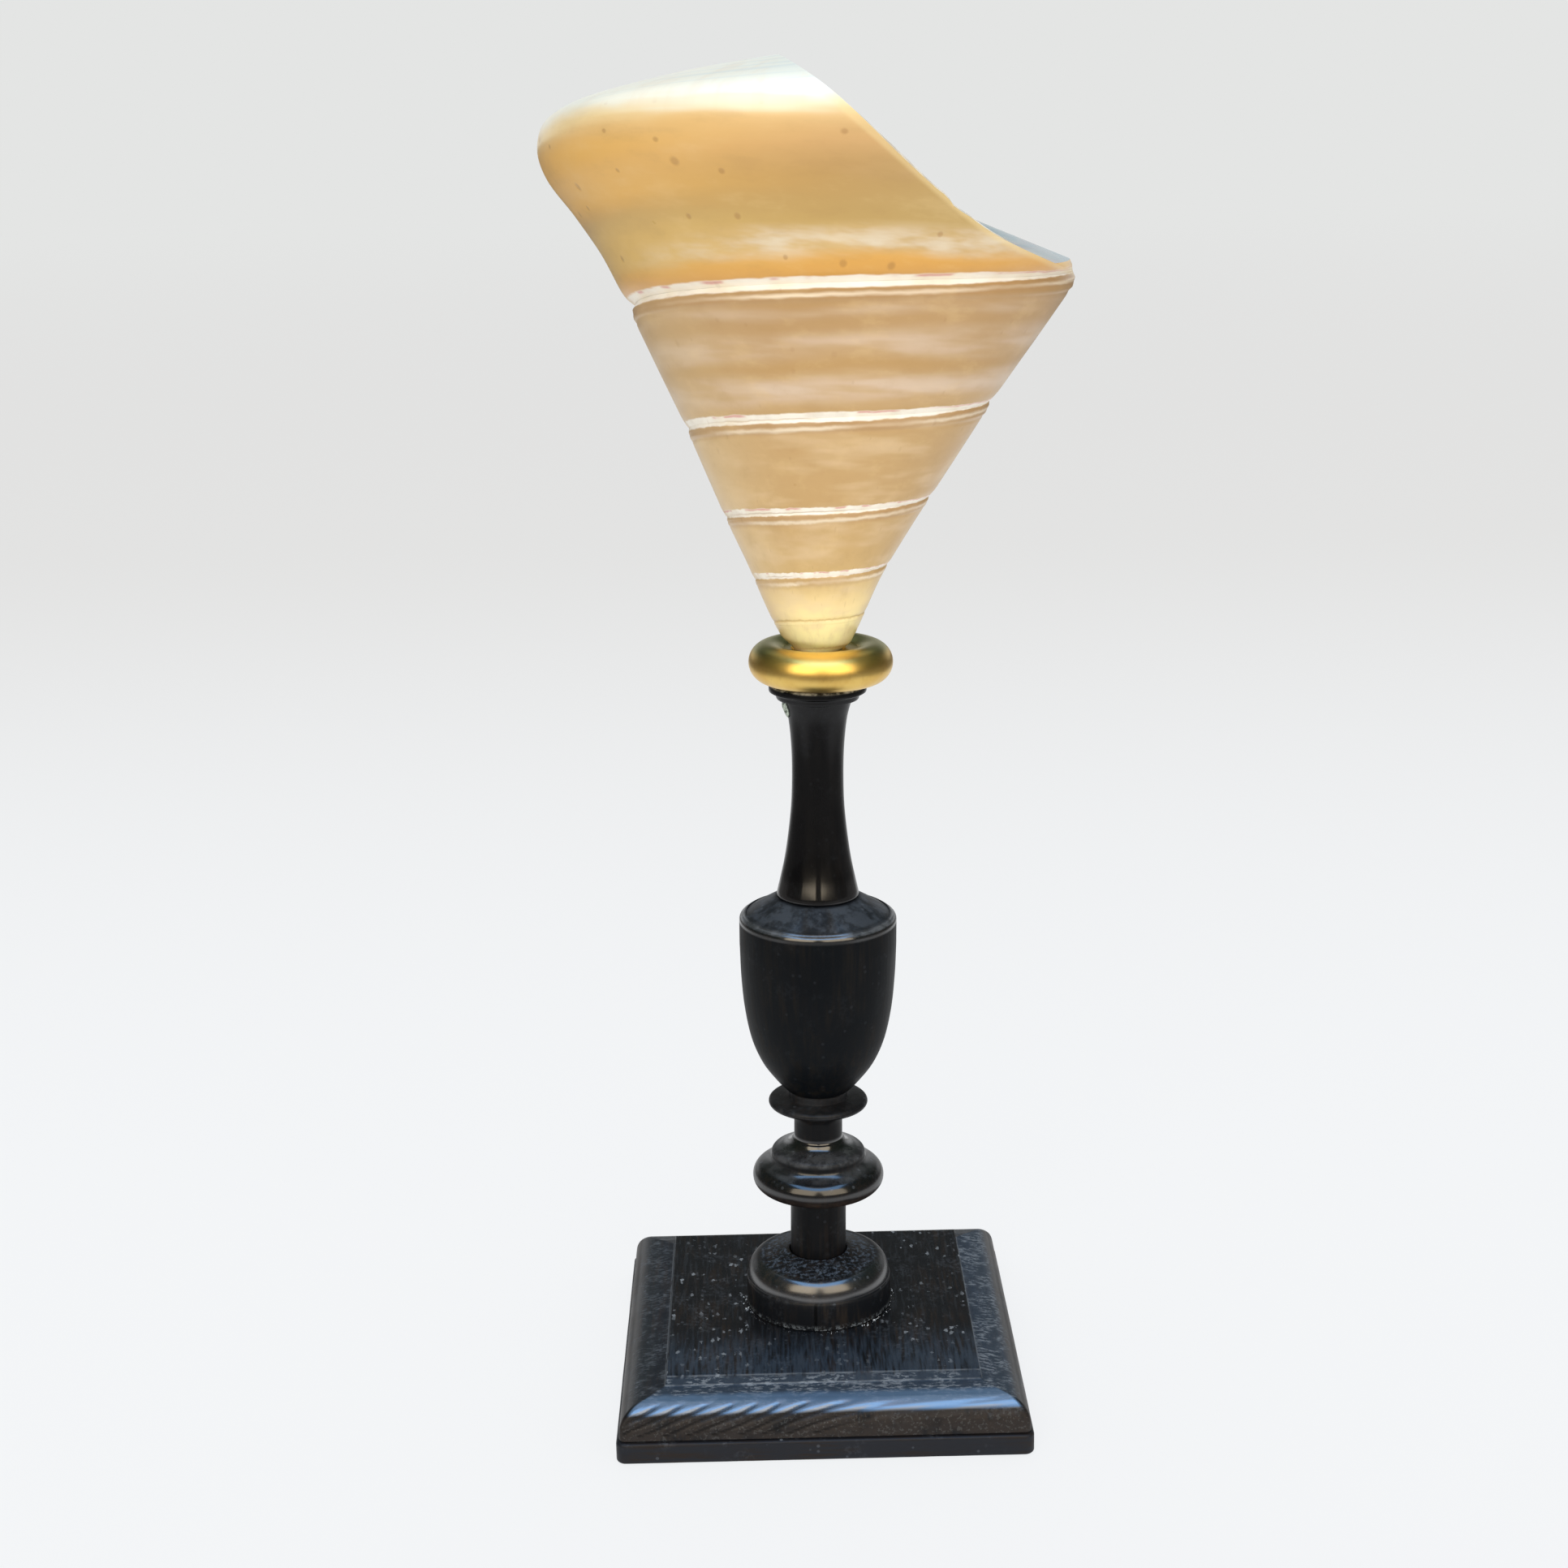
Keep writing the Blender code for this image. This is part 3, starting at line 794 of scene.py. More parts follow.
@dataclass(frozen=True)
class ShellSeat:
    """Where the shell stands and how it leans, on the leaning stem."""

    point: Vector = field(default_factory=lambda: Vector((-3.3, 0.0, 163.4)) * MM)
    turn: float = math.radians(-0.7)
    lean_right: float = math.radians(4.8)
    lean_back: float = math.radians(5.2)
    tip_shift: float = 4.0 * MM
    tip_reach: float = 42.0 * MM
    depth: float = 4.6 * MM

    def axes(self) -> tuple[Vector, Vector, Vector]:
        """The shell's axis and its right and back directions, before the turn and the stem's lean.

        Returns:
            The three directions.
        """
        axis = Vector((math.sin(self.lean_right), math.sin(self.lean_back), 0.0))
        axis.z = math.sqrt(1 - axis.length_squared)
        right = Vector((0, 1, 0)).cross(axis).normalized()
        return axis, right, axis.cross(right)

    def place(self, radius: float, along: float, azimuth: float) -> Vector:
        """A point of the shell before the stem leans.

        Args:
            radius: Its distance from the axis.
            along: Its distance from the apex along the axis.
            azimuth: 180 for left, 270 for the front and 360 for right.

        Returns:
            The point.
        """
        axis, right, back = self.axes()
        angle = math.radians(azimuth)
        shift = self.tip_shift * max(0.0, 1 - along / self.tip_reach) ** 2
        outward = math.cos(angle) * right + math.sin(angle) * back
        point = self.point + along * axis + radius * outward + Vector((shift, 0.0, 0.0))
        return Matrix.Rotation(self.turn, 3, "Z") @ point

    def final(self) -> tuple[Vector, Vector, Vector, Vector, Vector]:
        """The apex and the axis, right, back and tip-shift directions as they stand.

        Returns:
            The point and the four directions.
        """
        lean, turn = STEM.matrix(), Matrix.Rotation(self.turn, 3, "Z")
        directions = [lean.to_3x3() @ turn @ d for d in (*self.axes(), Vector((1.0, 0.0, 0.0)))]
        return (lean @ (turn @ self.point), *directions)


class Zone(Enum):
    """The kinds of surface on the shell."""

    OUTER = 0
    INNER = 1
    CUT = 2


GROWTH = SpiralGrowth()
SEAT = ShellSeat()
FRONT_START, FRONT_END = 165.0, 375.0  # azimuths a little past the cut face on each side


def fade(value: float, low: float, high: float) -> float:
    """A smooth step from 0 at low to 1 at high."""
    s = min(1.0, max(0.0, (value - low) / (high - low)))
    return s * s * (3 - 2 * s)


@dataclass(frozen=True)
class FlatPoint:
    """One point of a pattern before it is wound: growth turns, and ratios to the seam's distance."""

    azimuth: float  # degrees
    turns: float
    radius: float
    along: float

    def towards(self, other: FlatPoint, share: float) -> FlatPoint:
        """A pattern point on the way to another."""
        return FlatPoint(*(a + (b - a) * share for a, b in zip(astuple(self), astuple(other))))


@dataclass(frozen=True)
class FlatPattern:
    """A grid of pattern points, closed into a solid; winding it gives the shell's walls.

    With poles, every column ends in one at both ends, and the last column joins the first.
    """

    name: str
    columns: Sequence[Sequence[FlatPoint]]
    zones: Sequence[Zone]  # for the faces after each point of a column
    poles: Sequence[FlatPoint] = ()

    def mesh(self) -> Piece:
        """The flat pattern as a mesh, with its growth turns and zones as attributes.

        Returns:
            The object, with azimuth turns, radius ratio and distance ratio as its coordinates.
        """
        across, count = len(self.columns), len(self.columns[0])
        points = [point for row in zip(*self.columns) for point in row] + list(self.poles)
        faces: list[tuple[int, ...]] = []
        zones: list[Zone] = []
        for j in range(count - 1 if self.poles else count):
            row, after = j * across, (j + 1) % count * across
            for i in range(across if self.poles else across - 1):
                right = (i + 1) % across
                faces.append((row + i, row + right, after + right, after + i))
                zones.append(self.zones[j])
        for pole, start in zip(range(across * count, len(points)), (0, (count - 1) * across)):
            faces += [(start + i, start + (i + 1) % across, pole) for i in range(across)]
        if not self.poles:
            for column in (0, across - 1):
                for j in range(count // 2 - 1):
                    corners = (j, j + 1, count - 2 - j, count - 1 - j)
                    faces.append(tuple(row * across + column for row in corners))
        ends = Zone.INNER if self.poles else Zone.CUT
        zones += [ends] * (len(faces) - len(zones))
        mesh = bpy.data.meshes.new(self.name)
        mesh.from_pydata([(p.azimuth / 360, p.radius, p.along) for p in points], [], faces)
        turns = mesh.attributes.new("turns", "FLOAT", "POINT")
        turns.data.foreach_set("value", [point.turns for point in points])
        kinds = mesh.attributes.new("zone", "INT", "FACE")
        kinds.data.foreach_set("value", [zone.value for zone in zones])
        return add_object(self.name, mesh)


def round_pattern(name: str, outline: Profile, sides: int) -> FlatPattern:
    """The pattern of a round solid on the shell's axis.

    Args:
        name: The pattern's name.
        outline: (radius, distance along the axis) points from pole to pole.
        sides: Columns round the axis.

    Returns:
        The pattern.
    """
    points = [FlatPoint(0.0, 0.0, radius / GROWTH.scale, along / GROWTH.scale) for radius, along in outline]
    columns = [[replace(p, azimuth=i * 360 / sides) for p in points[1:-1]] for i in range(sides)]
    return FlatPattern(name, columns, [Zone.INNER] * len(points), (points[0], points[-1]))


@dataclass(frozen=True)
class Winding:
    """The Geometry Nodes tree that winds a flat pattern onto the growth spiral."""

    waver: float = 0.0028
    waver_size: float = 24.0
    seed: float = 3.0

    def tree(self) -> bpy.types.NodeTree:
        """The tree, made once.

        Returns:
            The node tree.
        """
        name = "wind_onto_spiral"
        if name in bpy.data.node_groups:
            return bpy.data.node_groups[name]
        sizes = {"Seam scale": GROWTH.scale, "Growth": GROWTH.growth, "Easing": GROWTH.easing}
        sizes |= {"Tip shift": SEAT.tip_shift, "Tip reach": SEAT.tip_reach}
        sizes |= {"Waver": 0.0, "Waver size": 1.0, "Seed": 0.0}
        inputs = [(label, "Float", default) for label, default in sizes.items()]
        inputs += [(f"{zone.name.capitalize()} finish", "Material", None) for zone in Zone]
        maker = TreeMaker(name, inputs)
        apex, axis, right, back, sideways = SEAT.final()
        x, radius, along = maker.separate(maker.place)
        turns = maker.attribute("turns")
        rate = maker.size("Growth").apply("LOGARITHM", math.e)
        power = turns * rate + turns * turns * maker.size("Easing")
        seam = maker.size("Seam scale") * power.apply("EXPONENT")
        distance = along * seam
        angle = x * math.tau
        cosine, sine = angle.apply("COSINE"), angle.apply("SINE")
        wobble = maker.grain(cosine * distance, sine * distance, distance * 2.6 + maker.size("Seed"))
        maker.feed(wobble.socket.node.inputs["Scale"], maker.size("Waver size"))
        reach = radius * seam * (1.0 + (wobble - 0.5) * 2.0 * maker.size("Waver"))
        tip = (1.0 - distance / maker.size("Tip reach")).most(0.0)
        parts = ((axis, distance), (right, reach * cosine), (back, reach * sine))
        place = maker.combine(*apex)
        for direction, amount in (*parts, (sideways, maker.size("Tip shift") * tip * tip)):
            place = maker.vector("ADD", place, maker.scaled(tuple(direction), amount))
        finishes = []
        for zone in Zone:
            settings = {"data_type": "INT", "operation": "EQUAL"}
            kinds = {2: maker.attribute("zone", "INT"), 3: zone.value}
            same = maker.node("FunctionNodeCompare", settings, kinds).outputs[0]
            finishes.append((same, maker.entry[f"{zone.name.capitalize()} finish"]))
        return maker.finished(maker.moved(maker.entry["Geometry"], Position=place), *finishes)

    def wind(self, pattern: FlatPattern, finishes: dict[Zone, bpy.types.Material]) -> Piece:
        """The wound solid of a flat pattern.

        Args:
            pattern: The flat pattern.
            finishes: A material for each zone.

        Returns:
            The solid.
        """
        values = {f"{zone.name.capitalize()} finish": material for zone, material in finishes.items()}
        values |= {"Waver": self.waver, "Waver size": self.waver_size, "Seed": self.seed}
        return merged(use_tree(pattern.mesh(), self.tree(), values), 0.0005 * MM)


@dataclass(frozen=True)
class LipLine:
    """The oblique lip of the last whorl, as a height over a place across the front."""

    end_x: float = 54.6 * MM
    end_z: float = 254.7 * MM
    slope: float = 0.42
    steeper: float = 0.42
    bend_x: float = 32.0 * MM
    bend_ease: float = 6.0 * MM
    swells: tuple[tuple[float, float, float], ...] = (  # height, place and width
        (1.2 * MM, 2.0 * MM, 10.0 * MM),  # the shoulder
        (0.30 * MM, 23.6 * MM, 0.7 * MM),  # a chip's raised side
        (-0.55 * MM, 25.6 * MM, 1.3 * MM),  # the chip
    )

    def past_flow(self, maker: Maker, place: Socket) -> Flow:
        """How far a point lies above the line, as node maths without the swells.

        Args:
            maker: The shader's maker.
            place: The Object coordinates.

        Returns:
            The height above the line.
        """
        unlean = STEM.matrix().inverted()
        x, z = (maker.dot(place, unlean[row][:3]) + unlean[row][3] for row in (0, 2))
        bend = self.bend_x - x
        eased = 0.5 * (bend + (bend * bend + self.bend_ease**2).root())
        return z - self.end_z - self.slope * (self.end_x - x) - self.steeper * eased

    def height(self, x: float) -> float:
        """Height of the edge: it falls to the right, eases off near the seam and has one chip.

        Args:
            x: The place across the front.

        Returns:
            The height.
        """
        bend = self.bend_x - x
        eased = 0.5 * (bend + math.sqrt(bend * bend + self.bend_ease * self.bend_ease))
        edge = self.end_z + self.slope * (self.end_x - x) + self.steeper * eased
        return edge + sum(rise * math.exp(-(((x - at) / width) ** 2)) for rise, at, width in self.swells)


LIP = LipLine()


@dataclass
class ShellHalf:
    """The half shell: older whorls, last whorl, pillar, hollows and cut face, in one piece."""

    wall: float = 2.9 * MM
    lip_wall: float = 1.3 * MM
    whorls: int = 5
    front_columns: int = 132
    back_columns: int = 7
    winding: Winding = field(default_factory=Winding)
    groove: float = 0.007
    swell: float = 1.15 * MM
    swell_start: float = 10.2 * MM
    swell_end: float = 30.0 * MM
    pillar: tuple[tuple[float, float], ...] = (  # mm
        *((5.6, 70.0), (5.2, 92.0), (5.0, 105.0), (5.6, 114.0), (5.2, 118.0), (3.4, 120.2)),
    )

    # shares of a whorl's height, closer together near its upper seam
    levels: tuple[float, ...] = (
        *(0.0, 0.012, 0.03, 0.055, 0.085, 0.12, 0.17, 0.23, 0.3, 0.38, 0.46, 0.54, 0.61, 0.67, 0.72),
        *(0.76, 0.79, 0.81, 0.83, 0.848, 0.865, 0.88, 0.895, 0.91, 0.925, 0.94, 0.955, 0.97, 0.985),
    )

    def bulge(self, share: float, turns_high: float) -> float:
        """Radius beyond the cone, as a share of the seam, at a share of the whorl's height.

        Args:
            share: 0 at the lower seam and 1 at the upper one.
            turns_high: Growth turns of the upper seam.

        Returns:
            The extra radius.
        """
        full = 0.004 + 0.012 * fade(turns_high, -1.05, -0.55)
        places = (0.0, 0.035, 0.1, 0.45, 0.82, 0.9, 0.955, 1.0)
        middle = 0.004 + 0.55 * (full - 0.004)
        bulges = (-self.groove, -0.001, 0.004, middle, full, 0.93 * full, 0.62 * full, -self.groove)
        cord = 0.0022 * math.exp(-(((share - 0.90) / 0.016) ** 2))
        hollow = 0.0016 * math.exp(-(((share - 0.868) / 0.012) ** 2))
        return float(np.interp(share, places, bulges)) + cord - hollow

    def blunt(self, turns: float) -> float:
        """The cone's radius ratio, a little fuller just above the ring's dish.

        Args:
            turns: Growth turns of the place.

        Returns:
            The ratio.
        """
        along = GROWTH.seam(turns)
        swell = self.swell * fade(along, self.swell_start, self.swell_start + 2.2 * MM)
        return GROWTH.cone + swell * fade(along, self.swell_end, self.swell_start + 3.5 * MM) / along

    def spire_section(self, azimuth: float) -> list[FlatPoint]:
        """Pattern points up the older whorls' outer side and over the last one's base to the axis.

        Args:
            azimuth: Where the section lies.

        Returns:
            The points, from the shell's point to the axis.
        """
        turns = azimuth / 360 - 1
        cone = GROWTH.cone
        start, first = GROWTH.turns_at(SEAT.depth), turns - self.whorls
        points = [(start, cone, 1.0)]
        for here in (start + (first - start) * step / 16 for step in range(1, 16)):
            points.append((here, self.blunt(here), 1.0))
        for whorl in range(self.whorls, 0, -1):
            for share in self.levels:
                here, lowest = turns - whorl + share, 0.1 if whorl == self.whorls else 0.0
                bulge = self.bulge(max(share, lowest), turns - whorl + 1)
                points.append((here, self.blunt(here) + bulge, 1.0))
        for narrower, along in ((0.006, 1.0), (0.008, 1.012), (0.014, 1.023)):
            points.append((turns, cone - narrower, along))
        for radius in np.linspace(cone - 0.03, 0.06, 14):
            points.append((turns, radius, 1.023 + (cone - 0.014 - radius) * GROWTH.base_slope))
        return [FlatPoint(azimuth, *point) for point in points]

    def spire(self) -> FlatPattern:
        """The older whorls as one solid; behind the cut face the two ends of the spiral are joined.

        Returns:
            The pattern.
        """
        azimuths = np.linspace(FRONT_START, FRONT_END, self.front_columns)
        columns = [self.spire_section(azimuth) for azimuth in azimuths]
        start = [replace(point, azimuth=FRONT_START + 360) for point in columns[0]]
        ends = list(zip(columns[-1], start))
        for step in range(1, self.back_columns + 1):
            columns.append([a.towards(b, step / (self.back_columns + 1)) for a, b in ends])
        outer = 18 + len(self.levels) * self.whorls
        zones = [Zone.OUTER] * outer + [Zone.INNER] * (len(start) - outer)
        top = FlatPoint(FRONT_START, -0.25, 0.0, 1.02 + GROWTH.cone * GROWTH.base_slope)
        return FlatPattern("spire", columns, zones, (replace(columns[0][0], radius=0.0), top))

    def last_outline(self, azimuth: float) -> Profile:
        """The last whorl's outer side: seam, flank, keel and base.

        Args:
            azimuth: Where the section lies.

        Returns:
            (radius, distance) ratios.
        """
        flank = ((1.0, 0.0, 1.0), (1.03, 0.018, 1.03), (1.12, 0.032, 1.12), (1.21, 0.062, 1.21))
        flank += ((1.29, 0.095, 1.29), (1.36, 0.083, 1.36), (1.42, 0.020, 1.42))
        outline = [(GROWTH.cone * share + more, along) for share, more, along in flank]
        outline[0] = (GROWTH.cone - 0.004, 1.0)
        outline += [(0.63, 1.475), (0.46, 1.52), (0.29, 1.535), (0.15, 1.50), (0.05, 1.45)]
        rise = 1.05 - 0.05 * fade(azimuth, 180, 255)
        return [(radius, 1 + (along - 1) * rise) for radius, along in curve(outline, 8)]

    def inside(self, outline: Profile, wall: float) -> Profile:
        """The outline moved inward by a wall; its start runs into the older whorls.

        Args:
            outline: (radius, distance) ratios of the outer side.
            wall: The wall as a ratio.

        Returns:
            The inner side's ratios.
        """
        points = [Vector(point) for point in outline]
        moved = []
        for before, here, after in zip(points[:1] + points, points, points[1:] + points[-1:]):
            ahead = after - before
            moved.append(tuple(here + wall * Vector((-ahead.y, ahead.x)).normalized()))
        buried = curve([(-0.085, 0.985), (-0.065, 0.99), (-0.045, 1.0), (-0.028, 1.022)], 4)
        for row, (radius, along) in enumerate(buried):
            start = Vector((GROWTH.cone + radius, along))
            moved[row] = tuple(start.lerp(Vector(moved[row]), fade(row, 9, 13)))
        return moved

    def lip_azimuth(self, row: int) -> float:
        """Where a row of the last whorl's outline reaches the lip, going round with the growth.

        Args:
            row: The point's number in the outline.

        Returns:
            The azimuth.
        """
        low, high = 185.0, 357.0
        for _ in range(26):
            middle = (low + high) / 2
            radius, along = self.last_outline(middle)[row]
            seam = GROWTH.seam(middle / 360 - 1)
            point = SEAT.place(radius * seam, along * seam, middle)
            low, high = (middle, high) if point.z < LIP.height(point.x) else (low, middle)
        return low

    def last_whorl(self) -> FlatPattern:
        """The last whorl's wall, from behind the left limb round to the oblique lip.

        Returns:
            The pattern.
        """
        count = len(self.last_outline(270))
        ends = [self.lip_azimuth(row) for row in range(count)]
        even, close = 100, 24  # columns: evenly spaced ones, then ever closer ones up to the lip
        shares = [s / 112 for s in range(even)]
        shares += [1 - 0.0982 * (1 - s / close) ** 1.5 for s in range(close + 1)]
        columns = []
        for share in shares:
            thin = self.wall + (self.lip_wall - self.wall) * fade(share, 0.8, 1.0)
            thin *= 1 - 0.45 * fade(share, 0.985, 1.0)
            outer, inner = [], []
            for row, end in enumerate(ends):
                azimuth = FRONT_START + (end - FRONT_START) * share
                turns = azimuth / 360 - 1
                outline = self.last_outline(azimuth)
                outer.append(FlatPoint(azimuth, turns, *outline[row]))
                inside = self.inside(outline, thin / GROWTH.seam(turns))
                inner.append(FlatPoint(azimuth, turns, *inside[row]))
            columns.append(outer + inner[::-1])
        zones = [*[Zone.OUTER] * (count - 1), Zone.CUT, *[Zone.INNER] * (count - 1), Zone.CUT]
        return FlatPattern("last_whorl", columns, zones)

    def chamber_section(self, low: float, high: float) -> Profile:
        """Points round the hollow of one older whorl.

        Args:
            low: The lower seam's distance.
            high: The upper seam's distance.

        Returns:
            (radius, distance) points.
        """
        wall = self.wall * (high / GROWTH.scale) ** 0.6
        inner = 0.5 * wall + 0.07 * high
        cone = GROWTH.cone
        corners = []
        for seam, radius, offset in (
            (low, inner, 0.45),
            (low, cone * low + 0.1 * (high - low) - wall, 0.45),
            (high, cone * (high - 0.9 * wall) - wall, -0.75),
            (high, inner * 1.1, -0.9),
        ):
            along = seam + (cone * seam - radius) * GROWTH.base_slope + offset * wall
            corners.append(Vector((radius, along)))
        points = []
        for before, here, after in zip(corners[-1:] + corners, corners, corners[1:] + corners[:1]):
            points += corner_curve(here.lerp(before, 0.22), here, here.lerp(after, 0.22), 6)
        return points

    def chamber(self, whorl: int) -> FlatPattern:
        """The cutter of one older whorl's hollow, a little over a half turn long.

        Args:
            whorl: The whorl's number, from 1 at the top.

        Returns:
            The pattern.
        """
        columns = []
        for azimuth in np.linspace(FRONT_START, FRONT_END, 60):
            turns = azimuth / 360 - 1
            seam = GROWTH.seam(turns)
            section = self.chamber_section(GROWTH.seam(turns - whorl), GROWTH.seam(turns - whorl + 1))
            columns.append([FlatPoint(azimuth, turns, out / seam, up / seam) for out, up in section])
        return FlatPattern(f"chamber_{whorl}", columns, [Zone.INNER] * len(columns[0]))

    def behind(self, offset: float, finish: bpy.types.Material | None = None) -> Piece:
        """A block whose front face is the cut plane.

        Args:
            offset: How far it is moved back.
            finish: Its material.

        Returns:
            The block.
        """
        size = 400 * MM
        apex, axis, right, back, _ = SEAT.final()
        frame = Matrix((right, back, axis)).transposed().to_4x4()
        frame.translation = apex + (offset + size / 2) * back
        shape = bmesh.new()
        bmesh.ops.create_cube(shape, size=size, matrix=frame)
        mesh = from_shape("behind_cut_face", shape)
        if finish:
            mesh.materials.append(finish)
        return add_object("behind_cut_face", mesh)

    def point_seat(self) -> Piece:
        """The seat of the shell's point in the ring: half a cone, flat at the back.

        Returns:
            The cutter.
        """
        places = (SEAT.depth - GAP, 8 * MM, 13 * MM, 20 * MM)
        cone = [(GROWTH.cone * along + 2 * GAP, along) for along in places]
        pattern = round_pattern("point_seat", [(0.0, SEAT.depth - 2 * GAP), *cone, (0.0, 20.5 * MM)], 72)
        seat = merged(use_tree(pattern.mesh(), self.winding.tree(), {}))
        return cut(seat, [(self.behind(GAP), "DIFFERENCE")])

    def build(self, finishes: dict[Zone, bpy.types.Material]) -> Piece:
        """Winds the walls, joins them, hollows the older whorls and saws the shell in half.

        Args:
            finishes: A material for each zone.

        Returns:
            The shell.
        """
        outline = [(radius * MM, along * MM) for radius, along in curve(list(self.pillar), 5)]
        pillar = round_pattern("pillar", [(0.0, 66.0 * MM), *outline, (0.0, 120.8 * MM)], 48)
        steps = [(self.last_whorl(), "UNION"), (pillar, "UNION")]
        steps += [(self.chamber(whorl), "DIFFERENCE") for whorl in range(1, self.whorls)]
        shell = self.winding.wind(self.spire(), finishes)
        shell.name = "half_shell"
        others = [(self.winding.wind(pattern, finishes), operation) for pattern, operation in steps]
        cut(shell, [*others, (self.behind(0.0, finishes[Zone.CUT]), "DIFFERENCE")])
        return shade(merged(shell, 0.001 * MM), 32.0)


# --- the shell's finishes ---


@dataclass(frozen=True)
class ShellPlaces:
    """Where a point lies on the growth spiral, as node maths."""

    phi: Flow  # turns round the axis from the front, right positive
    along: Flow
    radius: Flow
    back: Flow  # distance behind the cut plane
    seam: Flow  # distance of the outermost seam at this azimuth
    steps: Flow  # growth turns above (positive) or below the outermost seam
    below: Flow  # mm below the nearest seam above
    above: Flow  # mm above the nearest seam below

    @staticmethod
    def of(maker: Maker, place: Socket) -> ShellPlaces:
        """Works the places out from Object coordinates.

        Args:
            maker: The shader's maker.
            place: The Object coordinates.

        Returns:
            The places.
        """
        apex, axis, right, back, sideways = SEAT.final()
        rough = maker.dot(place, axis) - apex.dot(axis)
        tip = (1.0 - rough / SEAT.tip_reach).most(0.0)
        shift = SEAT.tip_shift * tip * tip
        along = rough - shift * sideways.dot(axis)
        u, v = (maker.dot(place, d) - apex.dot(d) - shift * sideways.dot(d) for d in (right, back))
        phi = u.apply("ARCTAN2", -v) / math.tau
        start = phi - 0.25
        rate = math.log(GROWTH.growth)
        share = (along.most(2 * MM) / GROWTH.scale).apply("LOGARITHM", math.e)
        root = (rate * rate + 4 * GROWTH.easing * share).most(0.0).root()
        steps = (root - rate) / (2 * GROWTH.easing) - start
        whole = start + steps.apply("FLOOR")
        low, high = GROWTH.seam_flow(whole), GROWTH.seam_flow(whole + 1.0)
        gaps = ((high - along) * 1000.0, (along - low) * 1000.0)
        return ShellPlaces(phi, along, (u * u + v * v).root(), v, GROWTH.seam_flow(start), steps, *gaps)


